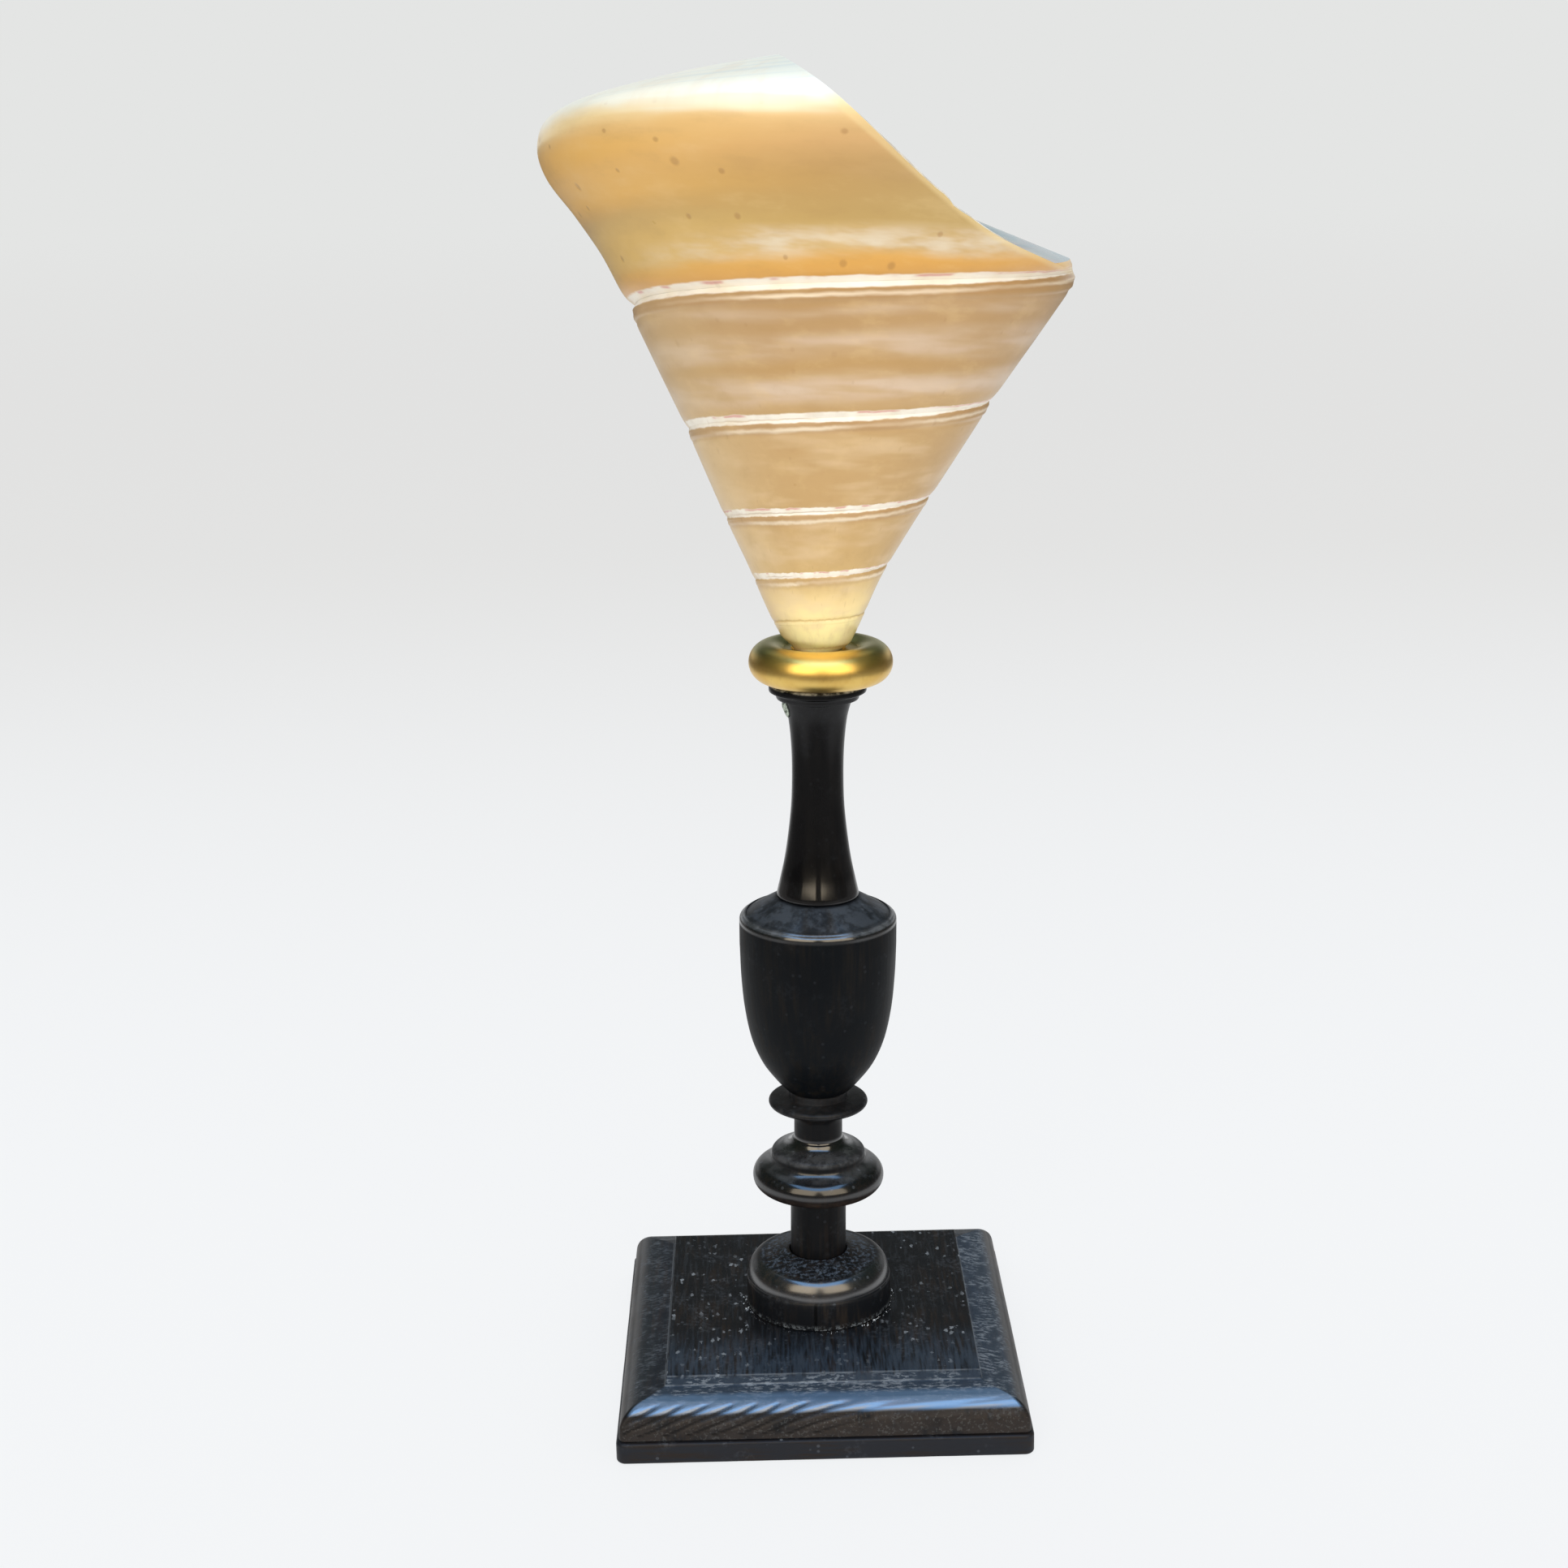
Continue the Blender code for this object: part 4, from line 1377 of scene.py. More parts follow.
@dataclass(frozen=True)
class PolishedShell(Finish):
    """The polished outside: amber last whorl, paler whorls below, chalky seams and a white base."""

    name: str = "polished_shell"
    older: tuple[tuple[float, ...], ...] = (  # from the point to the outermost seam
        # the palest stops, at the point, are partly a painted glow
        (0.02, 255, 247, 186),
        (0.14, 255, 240, 176),
        (0.26, 250, 224, 160),
        (0.40, 206, 172, 114),
        (0.60, 196, 160, 106),
        (0.82, 195, 159, 107),
        (0.97, 184, 147, 98),
    )
    flank: tuple[tuple[float, ...], ...] = (  # from the outermost seam to the keel
        (0.00, 218, 162, 82),
        (0.10, 220, 165, 80),
        (0.18, 206, 168, 102),
        (0.34, 190, 156, 92),
        (0.58, 190, 151, 90),
        (0.76, 208, 165, 108),
        (0.90, 222, 185, 128),
        (1.00, 240, 214, 158),
    )

    def whorl_colour(self, maker: Maker, at: ShellPlaces, streak: Flow, soft: Flow) -> Socket:
        """The older whorls' colour: pale tan streaks, paler towards the point, where the palest colour is
        partly a painted glow.

        Args:
            maker: The shader's maker.
            at: Where the point lies.
            streak: Noise drawn out along the growth.
            soft: Broad noise.

        Returns:
            The colour.
        """
        base = Paint(maker, maker.ramp((at.steps + 5.0 + (soft - 0.5) * 0.5) / 5.0, self.older))
        upper = at.steps.rise(-1.04, -0.98)
        height = at.above / (at.above + at.below) + (soft - 0.5) * 0.16
        bands = height.hump(0.53, 0.17) * 0.85 + height.hump(0.22, 0.16) + height.hump(0.80, 0.08) * 0.5
        mauve = bands * (0.2 + 0.8 * streak.rise(0.32, 0.64)) * upper
        base.lay((mauve * 0.75).clamp(), 220, 198, 174)
        gold = height.hump(0.38, 0.08) + height.hump(0.97, 0.07)
        base.lay((gold * 0.6 * upper).clamp(), 186, 147, 90)
        base.lay(streak.rise(0.42, 0.72) * 0.4 * (1.0 - upper), 228, 202, 162)
        # painted light: the left side of the older whorls is painted paler, standing in for light from the left
        base.lay(at.phi.rise(-0.04, -0.2) * (0.6 - 0.25 * upper), 234, 206, 156)
        lower = (1.0 - upper) * height.rise(0.80, 0.97) * at.steps.rise(-3.2, -2.8)
        base.lay(lower * 0.4, 186, 146, 100)
        return base.colour

    def last_colour(self, maker: Maker, at: ShellPlaces, streak: Flow, soft: Flow) -> Socket:
        """The last whorl's flank: an orange belt over the seam, pinkish streaks of painted sheen, olive gold,
        peach, and painted light on the left.

        Args:
            maker: The shader's maker.
            at: Where the point lies.
            streak: Noise drawn out along the growth.
            soft: Broad noise.

        Returns:
            The colour.
        """
        share = (at.along / at.seam - 1.0) / 0.36
        wavy = share - 0.03 + (streak - 0.5) * 0.07 + (soft - 0.5) * 0.10
        base = Paint(maker, maker.ramp(wavy, self.flank))
        # painted light: the left side is painted brighter and more golden, standing in for light from the left
        left = at.phi.rise(0.02, -0.16)
        base.lay(left * wavy.between(0.48, 0.92, 0.1) * 0.8, 236, 184, 94)
        base.lay(left * wavy.between(0.1, 0.42, 0.1) * 0.8, 222, 184, 108)
        olive = at.phi.hump(0.10, 0.13) * wavy.between(0.3, 0.72, 0.12)
        base.lay(olive * 0.7, 192, 164, 106)
        # painted sheen: pale pinkish streaks across the upper flank, on the left and the middle
        smear = maker.grain(at.phi * 20.0, at.along * 240.0, 9.0, 3.0, 0.6)
        streaks = wavy.hump(0.20, 0.14) * at.phi.rise(-0.2, -0.02) * (0.15 + 0.85 * smear.rise(0.34, 0.64))
        base.lay(streaks * 0.85, 226, 212, 186)
        cloud = soft.rise(0.52, 0.68) * wavy.between(0.6, 0.7, 0.08) * at.phi.rise(-0.04, 0.05)
        base.lay(cloud * 0.5, 222, 182, 152)
        return base.colour

    def seam_bands(self, maker: Maker, at: ShellPlaces, base: Paint, fine: Flow) -> Flow:
        """Lays chalky bands under the seams, with pink dashes, painted brown shade below them and a thin
        painted highlight line in that shade.

        Args:
            maker: The shader's maker.
            at: Where the point lies.
            base: The colour that they are laid over.
            fine: Fine noise.

        Returns:
            How chalky the surface is.
        """
        order = (at.steps + 0.5).apply("FLOOR")
        inside = at.steps.rise(0.05, 0.04) * at.steps.rise(-3.6, -3.5)
        width = (0.55 + 1.75 * ((at.steps + 5.0) / 5.0)) * (1.0 - at.phi.rise(0.04, 0.2) * 0.35)
        lower = (at.above - at.below).apply("GREATER_THAN", 0.0)
        edge = at.below * lower - at.above * (1.0 - lower) + 1.15 + (fine - 0.5) * 0.7
        across = edge / width
        band = across.between(0.0, 1.02, 0.1) * inside
        dashes = maker.grain(at.phi * 26.0, order * 7.3, 0.0)
        lengths = maker.grain(at.phi * 5.0, order * 3.1, 4.0, 1.0)
        chalk = Paint(maker, srgb(253, 247, 232))
        chalk.lay(dashes.rise(0.42, 0.62) * 0.5, 240, 228, 202)
        base.colour = maker.mix(band * 0.92, base.colour, chalk.colour)
        pink = across.hump(0.12, 0.2) * dashes.rise(0.5, 0.6).most(at.phi.rise(0.08, 0.16) * 0.8)
        base.lay(pink * band * 0.8, 214, 140, 130)
        brown = across.hump(0.62, 0.16) * lengths.rise(0.5, 0.62)
        base.lay(brown * band * 0.5, 186, 150, 112)
        under = edge - width
        # painted shade: brown in the groove just below the chalky band
        base.lay(under.between(0.15, 2.2, 0.6) * inside * 0.35, 168, 128, 88)
        # painted highlight: a thin light line below the band, on the middle and right, where the ledge below
        # faces the light
        second = (under - 1.3 - (lengths - 0.5) * 1.4).hump(0.0, 0.75)
        second = second * (at.phi + (dashes - 0.5) * 0.1).rise(-0.2, -0.05) * inside
        base.lay(second * (0.3 + 0.7 * lengths.rise(0.36, 0.56)) * 0.75, 246, 230, 200)
        base.lay(edge.hump(1.1, 0.45) * at.steps.rise(-3.5, -3.6) * 0.5, 196, 156, 92)
        return band

    def base_white(self, maker: Maker, at: ShellPlaces, peach: Flow) -> Socket:
        """The white of the shell's base, cooler on the right, with faint rays and rings.

        Args:
            maker: The shader's maker.
            at: Where the point lies.
            peach: How peach it is at the keel.

        Returns:
            The colour.
        """
        white = Paint(maker, srgb(246, 246, 230))
        white.lay(at.phi.rise(-0.12, 0.1), 220, 240, 244)
        rays = maker.grain(at.phi * 70.0, at.radius * 60.0, 1.0, 3.0, 0.6)
        rings = maker.grain(at.phi * 5.0, at.radius * 380.0, 6.0)
        white.lay(rays.rise(0.46, 0.66) * 0.4, 238, 226, 204)
        white.lay(rings.rise(0.48, 0.62) * 0.35, 204, 222, 226)
        white.lay(peach * 0.6, 246, 230, 194)
        return white.colour

    def paint(self, maker: Maker, place: Socket) -> Looks:
        """The looks by the point's place on the spiral.

        Args:
            maker: The shader's maker.
            place: The Object coordinates.

        Returns:
            The looks.
        """
        at = ShellPlaces.of(maker, place)
        streak = maker.grain(at.phi * 11.0, at.along * 300.0 - at.phi * 4.0, at.radius * 20.0, 2.0, 0.45)
        soft = maker.grain(at.phi * 9.0, at.along * 90.0, 2.0, 3.0)
        fine = maker.grain(at.phi * 60.0, at.along * 500.0, 5.0)
        older = self.whorl_colour(maker, at, streak, soft)
        last = self.last_colour(maker, at, streak, soft)
        base = Paint(maker, maker.mix(at.steps.rise(-0.002, 0.004), older, last))
        chalk = self.seam_bands(maker, at, base, fine)
        ratio = at.along / at.seam + (soft - 0.5) * 0.09 + (streak - 0.5) * 0.03
        inner_rim = (at.radius / at.seam).rise(0.60, 0.57) * ratio.rise(1.2, 1.3)
        thinner = at.phi.rise(-0.04, -0.24) * 0.05
        white = ((ratio - thinner).rise(1.335, 1.395) + inner_rim).clamp()
        mottle = maker.grain(at.phi * 22.0, at.along * 170.0, 8.0, 4.0, 0.6)
        base.lay(mottle.rise(0.5, 0.72) * 0.16, 242, 212, 156)
        base.lay(mottle.rise(0.5, 0.3) * 0.16, 168, 130, 76)
        peach = ratio.between(1.36, 1.405, 0.02) * streak.rise(0.5, 0.6)
        base.colour = maker.mix(white, base.colour, self.base_white(maker, at, peach))
        amber = 1.0 - white
        # painted shade: a saturated amber at the limbs, next to the cut plane
        base.lay(at.back.rise(-8 * MM, -1.5 * MM) * amber * 0.5, 206, 164, 84)
        # painted highlight: a pale yellow band along the lip's edge
        lip_edge_painted_highlight = LIP.past_flow(maker, place).rise(-1.6 * MM, -0.3 * MM) * amber
        base.lay(lip_edge_painted_highlight * 0.45, 240, 216, 156)
        near, which = maker.spots(maker.combine(at.phi * 34.0, at.along * 110.0, 0.0), 1.0, "2D")
        pits = (near * (2.3 - 1.7 * which)).rise(0.075, 0.025) * which.rise(0.5, 0.54) * amber
        pits = pits * (0.3 + 0.7 * at.steps.rise(0.0, 0.1))
        base.lay(pits * 0.38, 150, 104, 56)
        rough = 0.3 + (fine - 0.5) * 0.06 + (streak - 0.5) * 0.06 + chalk * 0.12
        relief = (streak - 0.5) * 0.008 * MM + (fine - 0.5) * 0.002 * MM - pits * 0.06 * MM
        fixed = {"Coat Weight": 0.15, "Coat Roughness": 0.2, "Specular IOR Level": 0.3}
        return Looks(base.colour, rough, relief, fixed=fixed)


@dataclass(frozen=True)
class InnerNacre(Finish):
    """The pearly inside of the hollows and the top of the older whorls: pale, bluish and pink by turns."""

    name: str = "inner_nacre"
    play: tuple[tuple[float, ...], ...] = (
        (0.30, 128, 158, 158),
        (0.42, 178, 198, 196),
        (0.50, 220, 218, 204),
        (0.58, 216, 196, 186),
        (0.68, 160, 184, 192),
    )

    def paint(self, maker: Maker, place: Socket) -> Looks:
        """A pearly play of colour that follows the growth lines.

        Args:
            maker: The shader's maker.
            place: The Object coordinates.

        Returns:
            The looks.
        """
        at = ShellPlaces.of(maker, place)
        cloud = maker.grain(at.phi * 9.0, at.along * 90.0, at.radius * 60.0, 4.0, 0.55, 0.6)
        fine = maker.grain(at.phi * 160.0, at.along * 60.0, at.radius * 40.0, 3.0)
        base = Paint(maker, maker.ramp(cloud + (fine - 0.5) * 0.1, self.play))
        # painted shade: a darker teal on the older whorls' top, behind the lip
        ledge_painted_shade = at.phi.rise(0.12, 0.2) * at.back.rise(2 * MM, -2 * MM)
        base.lay(ledge_painted_shade * LIP.past_flow(maker, place).rise(-MM, MM) * 0.75, 126, 152, 160)
        relief = (cloud - 0.5) * 0.2 * MM + (fine - 0.5) * 0.03 * MM
        fixed = {"Coat Weight": 0.3, "Coat Roughness": 0.1}
        return Looks(base.colour, 0.24 + (fine - 0.5) * 0.16, relief, fixed=fixed)


@dataclass(frozen=True)
class SawnShell(Finish):
    """The sawn and polished edge of the walls: layers of nacre with a thin outer skin."""

    name: str = "sawn_shell"

    def paint(self, maker: Maker, place: Socket) -> Looks:
        """Fine layers that run with the walls.

        Args:
            maker: The shader's maker.
            place: The Object coordinates.

        Returns:
            The looks.
        """
        at = ShellPlaces.of(maker, place)
        bend = maker.noise(place, 60.0)
        layers = maker.grain(at.radius * 900.0, at.along * 260.0, bend * 6.0, 3.0, 0.6)
        cloud = maker.noise(place, 140.0, 3.0)
        base = Paint(maker, srgb(240, 231, 212))
        base.lay(layers.rise(0.38, 0.62), 216, 205, 186)
        base.lay(cloud.rise(0.52, 0.68) * 0.5, 196, 202, 200)
        relief = (layers - 0.5) * 0.05 * MM + (cloud - 0.5) * 0.05 * MM
        fixed = {"Coat Weight": 0.15, "Coat Roughness": 0.2}
        return Looks(base.colour, 0.34 + (layers - 0.5) * 0.3, relief, fixed=fixed)


# --- the stand's finishes ---


@dataclass
class Marks:
    """What one piece's marks add: extra roughness, relief in metres and gloss coat."""

    rougher: Flow | float = 0.0
    relief: Flow | float = 0.0
    coat: Flow | float = 0.0


@dataclass(frozen=True)
class Ebonised(Finish):
    """Blackened wood: grain, brown rubbed patches, dust in the pores and on what faces up."""

    name: str = "ebonised"
    dark: Colour = srgb(19, 21, 24)
    brown: Colour = srgb(38, 31, 26)
    dusty: Colour = srgb(128, 136, 146)
    grain: tuple[float, float, float] = (900.0, 900.0, 40.0)
    gloss: float = 0.42
    dust: float = 0.35
    flecks: float = 0.4
    specular: float = 0.12
    coat: float = 0.02
    coat_roughness: float = 0.26
    coat_ior: float = 2.2

    def regions(self, maker: Maker, place: Socket, base: Paint, dusty: Flow) -> Marks:
        """Lays one piece's own marks over the wood.

        Args:
            maker: The shader's maker.
            place: The Object coordinates.
            base: The wood's colour.
            dusty: How dusty it is.

        Returns:
            What the marks add.
        """
        base.colour = maker.mix(dusty, base.colour, self.dusty)
        return Marks()

    def paint(self, maker: Maker, place: Socket) -> Looks:
        """Grain, rubbed patches, dust, gloss and relief.

        Args:
            maker: The shader's maker.
            place: The Object coordinates.

        Returns:
            The looks.
        """
        grain = maker.noise(place, self.grain, 4.0, 0.6)
        wear = maker.noise(place, 70.0, 3.0)
        grit = maker.noise(place, 900.0, 3.0, 0.7)
        facing = maker.node("ShaderNodeNewGeometry").outputs["Normal"]
        upward = maker.separate(facing)[2].rise(0.1, 0.95)
        rubbed = grain.rise(0.4, 0.66) * wear.rise(0.35, 0.65)
        base = Paint(maker, maker.mix(rubbed, self.dark, self.brown))
        patches = maker.noise(place, 160.0, 3.0, 0.6).rise(0.5, 0.64)
        film = grit.rise(0.44, 0.62) * patches * (upward * 0.75 + 0.25)
        near, which = maker.spots(place, 620.0)
        specks = near.rise(0.30, 0.16) * which.rise(0.86, 0.9) * (upward * 0.8 + 0.2)
        dusty = (film * self.dust + specks * self.flecks).clamp()
        marks = self.regions(maker, place, base, dusty)
        rough = self.gloss + (wear - 0.5) * 0.25 + (grain - 0.5) * 0.12 + dusty * 0.35 + marks.rougher
        relief = (grain - 0.5) * 0.05 * MM + (grit - 0.5) * 0.02 * MM + dusty * 0.02 * MM + marks.relief
        coat = (self.coat + (wear - 0.5) * self.coat + marks.coat) * (1.0 - dusty * 0.8)
        fixed = {"Specular IOR Level": self.specular, "Coat Roughness": self.coat_roughness}
        return Looks(base.colour, rough, relief, coat, fixed | {"Coat IOR": self.coat_ior})


@dataclass(frozen=True)
class BlockWood(Ebonised):
    """The block: a dusty border, a panel with grain from front to back and a ridged front moulding."""

    name: str = "ebonised_block"
    grain: tuple[float, float, float] = (1100.0, 90.0, 500.0)
    panel: float = 35.2 * MM

    def regions(self, maker: Maker, place: Socket, base: Paint, dusty: Flow) -> Marks:
        """Brown lower ovolo, speckled border, pale riser edges, grooves along the front, and painted shade,
        highlights and reflection.

        Args:
            maker: The shader's maker.
            place: The Object coordinates.
            base: The wood's colour.
            dusty: How dusty it is.

        Returns:
            What the marks add.
        """
        x, y, z = maker.separate(place)
        out = abs(x).most(abs(y))
        border = out.rise(self.panel - 0.1 * MM, self.panel + 0.2 * MM)
        inset = 1.0 - border
        front = (-y - abs(x)).rise(-0.5 * MM, 0.5 * MM)
        right = (x - abs(y)).rise(-0.5 * MM, 0.5 * MM)
        named = maker.node("ShaderNodeAttribute", {"attribute_name": "ridge"})
        ridge = Flow(maker, named.outputs["Fac"])
        speckle = maker.noise(place, 1300.0, 2.0, 0.7)
        cloud = maker.noise(place, 210.0, 3.0)
        strokes = maker.noise(place, (1500.0, 120.0, 500.0), 3.0, 0.6)
        worked = maker.noise(place, (500.0, 1500.0, 1500.0), 3.0, 0.7)
        near, which = maker.spots(maker.vector("MULTIPLY", place, (1.0, 0.55, 1.0)), 760.0)
        aside = 0.35 + 0.65 * abs(x + 2 * MM).rise(8 * MM, 18 * MM)
        gather = maker.noise(place, 90.0).rise(0.4, 0.56) * aside
        flakes = (near + (speckle - 0.5) * 1.2).rise(0.36, 0.24) * which.rise(0.66, 1.0) * gather * 1.4
        shelf = border * z.rise(11.3 * MM, 12.3 * MM)
        base.colour = maker.mix(dusty * (0.3 + 0.3 * border), base.colour, self.dusty)
        base.lay((flakes * inset).clamp() * 0.7, 142, 150, 158)
        low = border * z.rise(11.6 * MM, 9.4 * MM) * cloud.rise(0.3, 0.55)
        base.lay(low * 0.7, 50, 44, 40)
        # painted reflection: a blue tint on the panel's front part; on the land the same blue is dust
        panel_front_painted_reflection = inset * y.rise(-12 * MM, -30 * MM) * strokes.rise(0.3, 0.6)
        blue = (shelf * (0.25 + 0.75 * front.most(right)) + panel_front_painted_reflection).clamp()
        base.lay(blue * 0.5, 60, 76, 94)
        speckled = shelf * worked.rise(0.47, 0.6) * cloud.rise(0.36, 0.52)
        speckled = speckled * (0.3 + 0.7 * front.most(right))
        base.lay(speckled * 0.6, 134, 144, 154)
        pale = front * z.rise(11.4 * MM, 9.0 * MM) * speckle.rise(0.56, 0.64) * ridge.rise(0.75, 0.4)
        base.lay(pale * 0.15, 120, 122, 120)
        # painted shade: the grooves between the ridges are darkened
        base.lay(ridge.rise(0.3, 0.9) * 0.8, 13, 12, 12)
        base.lay(strokes.rise(0.52, 0.64) * inset * 0.25, 58, 64, 70)
        # pale lines: dust at the foot of the riser, and a painted highlight along the panel's top edge
        riser_dust_and_edge_highlight = z.hump(13.2 * MM, 0.35 * MM) + z.hump(15.3 * MM, 0.3 * MM) * 0.6
        line = out.hump(self.panel + 0.15 * MM, 0.5 * MM) * riser_dust_and_edge_highlight * cloud.rise(0.3, 0.45)
        base.lay((line * 0.7).clamp(), 132, 142, 152)
        rubbed = border * z.rise(12.75 * MM, 12.4 * MM) * z.rise(10.4 * MM, 11.3 * MM)
        rubbed = rubbed * (1.0 - ridge.rise(0.3, 0.8) * 0.8) * (0.3 + 0.7 * front)
        # painted highlight: blue on the rubbed upper front ovolo; the same mask also gives real extra gloss
        # through the coat
        base.lay(rubbed * front * 0.7, 84, 116, 152)
        return Marks(speckled * 0.2 + ridge * 0.15, 0.0, rubbed)


@dataclass(frozen=True)
class FootWood(Ebonised):
    """The foot: blue-grey speckled top, a grey sheen on the ovolo and a fine crack in front."""

    name: str = "ebonised_foot"
    grain: tuple[float, float, float] = (700.0, 700.0, 120.0)

    def regions(self, maker: Maker, place: Socket, base: Paint, dusty: Flow) -> Marks:
        """Speckles near the post, a crack down the front and glue dust at the bottom.

        Args:
            maker: The shader's maker.
            place: The Object coordinates.
            base: The wood's colour.
            dusty: How dusty it is.

        Returns:
            What the marks add.
        """
        x, y, z = maker.separate(place)
        radius = (x * x + y * y).root()
        speckle = maker.noise(place, 1100.0, 3.0, 0.75)
        base.colour = maker.mix(dusty, base.colour, self.dusty)
        top = radius.rise(14.4 * MM, 12.6 * MM) * speckle.rise(0.47, 0.62)
        base.lay(top * 0.6, 96, 110, 126)
        crack = abs(x + 1.2 * MM + (speckle - 0.5) * 0.6 * MM).rise(0.45 * MM, 0.1 * MM)
        crack = crack * y.rise(0.0, -6 * MM) * z.rise(23.5 * MM, 21.5 * MM)
        base.lay(crack * 0.85, 6, 6, 6)
        skirt = z.rise(17.4 * MM, 15.9 * MM) * speckle.rise(0.46, 0.6)
        base.lay(skirt * 0.7, 128, 134, 136)
        rubbed = z.rise(22.4 * MM, 23.4 * MM) * radius.rise(13.0 * MM, 14.2 * MM) * y.rise(2 * MM, -9 * MM)
        return Marks(top * 0.2 + skirt * 0.2, crack * -0.25 * MM, rubbed * 0.85)


@dataclass(frozen=True)
class StemBand:
    """A band round a stem piece, by its height along the leaning stem."""

    low: float
    high: float
    soft: float
    colour: tuple[float, float, float] = (0, 0, 0)
    share: float = 0.0
    patchy: float = 0.5
    coat: float = 0.0  # a band of extra gloss instead of a colour


@dataclass(frozen=True)
class StemWood(Ebonised):
    """A turned stem piece with bands of dust and rubbed edges."""

    name: str = "ebonised_stem"
    dark: Colour = srgb(12, 13, 15)
    brown: Colour = srgb(28, 23, 20)
    specular: float = 0.08
    bands: tuple[StemBand, ...] = ()

    def regions(self, maker: Maker, place: Socket, base: Paint, dusty: Flow) -> Marks:
        """The bands.

        Args:
            maker: The shader's maker.
            place: The Object coordinates.
            base: The wood's colour.
            dusty: How dusty it is.

        Returns:
            What the marks add.
        """
        lean = STEM.matrix()
        axis = lean.to_3x3() @ Vector((0.0, 0.0, 1.0))
        height = maker.dot(place, axis) - lean.translation.dot(axis)
        base.colour = maker.mix(dusty, base.colour, self.dusty)
        patch = maker.noise(place, 260.0, 4.0, 0.65)
        marks = Marks()
        for band in self.bands:
            mask = height.between(band.low, band.high, band.soft)
            if band.coat:
                marks.coat = mask * band.coat + marks.coat
                continue
            mask = mask * (1.0 - band.patchy + band.patchy * patch.rise(0.4, 0.6)) * band.share
            base.lay(mask, *band.colour)
            marks.rougher = mask * 0.3 + marks.rougher
        return marks


@dataclass(frozen=True)
class RubbedBrass(Finish):
    """Polished brass with smudges, fine scratches, tarnish, a painted olive reflection on the top at the back
    and a painted yellow highlight across the front.
    """

    name: str = "rubbed_brass"

    def paint(self, maker: Maker, place: Socket) -> Looks:
        """Warm metal with smudged gloss.

        Args:
            maker: The shader's maker.
            place: The Object coordinates.

        Returns:
            The looks.
        """
        _, y, z = maker.separate(place)
        smudge = maker.noise(place, 150.0, 3.0, 0.6)
        fine = maker.noise(place, (600.0, 600.0, 2600.0), 3.0)
        tarnish = maker.noise(place, 420.0, 3.0, 0.7)
        front = y.rise(-6 * MM, -12 * MM)
        base = Paint(maker, srgb(236, 200, 114))
        base.lay(smudge.rise(0.4, 0.65), 226, 186, 100)
        # painted highlight: bright yellow across the upper front band
        base.lay(z.between(171.4 * MM, 175.0 * MM, 0.7 * MM) * front * 0.75, 255, 218, 118)
        # painted reflection: olive green on the top at the back
        base.lay(z.rise(172.8 * MM, 174.4 * MM) * (1.0 - front) * 0.7, 124, 138, 84)
        base.lay(tarnish.rise(0.58, 0.72) * 0.15, 170, 134, 74)
        rough = 0.35 + (smudge - 0.5) * 0.12 + (fine - 0.5) * 0.06
        relief = (fine - 0.5) * 0.003 * MM + (smudge - 0.5) * 0.02 * MM
        return Looks(base.colour, rough, relief, fixed={"Metallic": 1.0})


@dataclass(frozen=True)
class Residue(Finish):
    """Dried glue or dust: pale grains with a soft, uneven surface."""

    name: str = "dried_glue"
    pale: Colour = srgb(232, 238, 242)
    dull: Colour = srgb(168, 178, 186)
    gloss: float = 0.5

    def paint(self, maker: Maker, place: Socket) -> Looks:
        """Mottled pale colour.

        Args:
            maker: The shader's maker.
            place: The Object coordinates.

        Returns:
            The looks.
        """
        mottle = maker.noise(place, 1500.0, 3.0, 0.6)
        colour = maker.mix(mottle.rise(0.4, 0.6), self.dull, self.pale)
        return Looks(colour, self.gloss + (mottle - 0.5) * 0.3, (mottle - 0.5) * 0.05 * MM)


# --- the stand's pieces ---


def wear_tree() -> bpy.types.NodeTree:
    """The Geometry Nodes tree that roughens a surface a little along its normals, made once.

    Returns:
        The tree.
    """
    found = bpy.data.node_groups.get("hand_worn_surface")
    if found:
        return found
    inputs = [("Depth", "Float", 0.04 * MM), ("Size", "Float", 90.0), ("Seed", "Float", 0.0)]
    maker = TreeMaker("hand_worn_surface", inputs + [("Finish", "Material", None)])
    shifted = maker.vector("ADD", maker.place, maker.combine(0.0, 0.0, maker.size("Seed")))
    uneven = (maker.noise(shifted, maker.size("Size")) - 0.5) * 2.0
    return maker.finished(maker.raised(maker.entry["Geometry"], uneven * maker.size("Depth")))


def worn(obj: Piece, finish: Finish, depth: float, size: float, seed: float) -> Piece:
    """Gives a piece its finish and a slightly uneven surface.

    Args:
        obj: The piece.
        finish: Its finish.
        depth: Height of the unevenness.
        size: Features to a metre.
        seed: Which unevenness.

    Returns:
        The piece.
    """
    values = {"Depth": depth, "Size": size, "Seed": seed, "Finish": finish.material()}
    return shade(use_tree(obj, wear_tree(), values))


def rounded_square(side: float, corner: float, straight: int, bend: int) -> Profile:
    """Points round a square with rounded corners, starting at the front left.

    Args:
        side: Its width.
        corner: The corners' radius.
        straight: Points along each side.
        bend: Points round each corner.

    Returns:
        (x, y) points, anticlockwise from above.
    """
    half, run = side / 2, side / 2 - corner
    front = [Vector((-run + 2 * run * i / straight, -half)) for i in range(straight)]
    for angle in (math.pi / 2 * (i / bend - 1) for i in range(bend)):
        front.append(Vector((run + corner * math.cos(angle), -run + corner * math.sin(angle))))
    turns = [Matrix.Rotation(quarter * math.pi / 2, 2) for quarter in range(4)]
    return [tuple(turn @ point) for turn in turns for point in front]


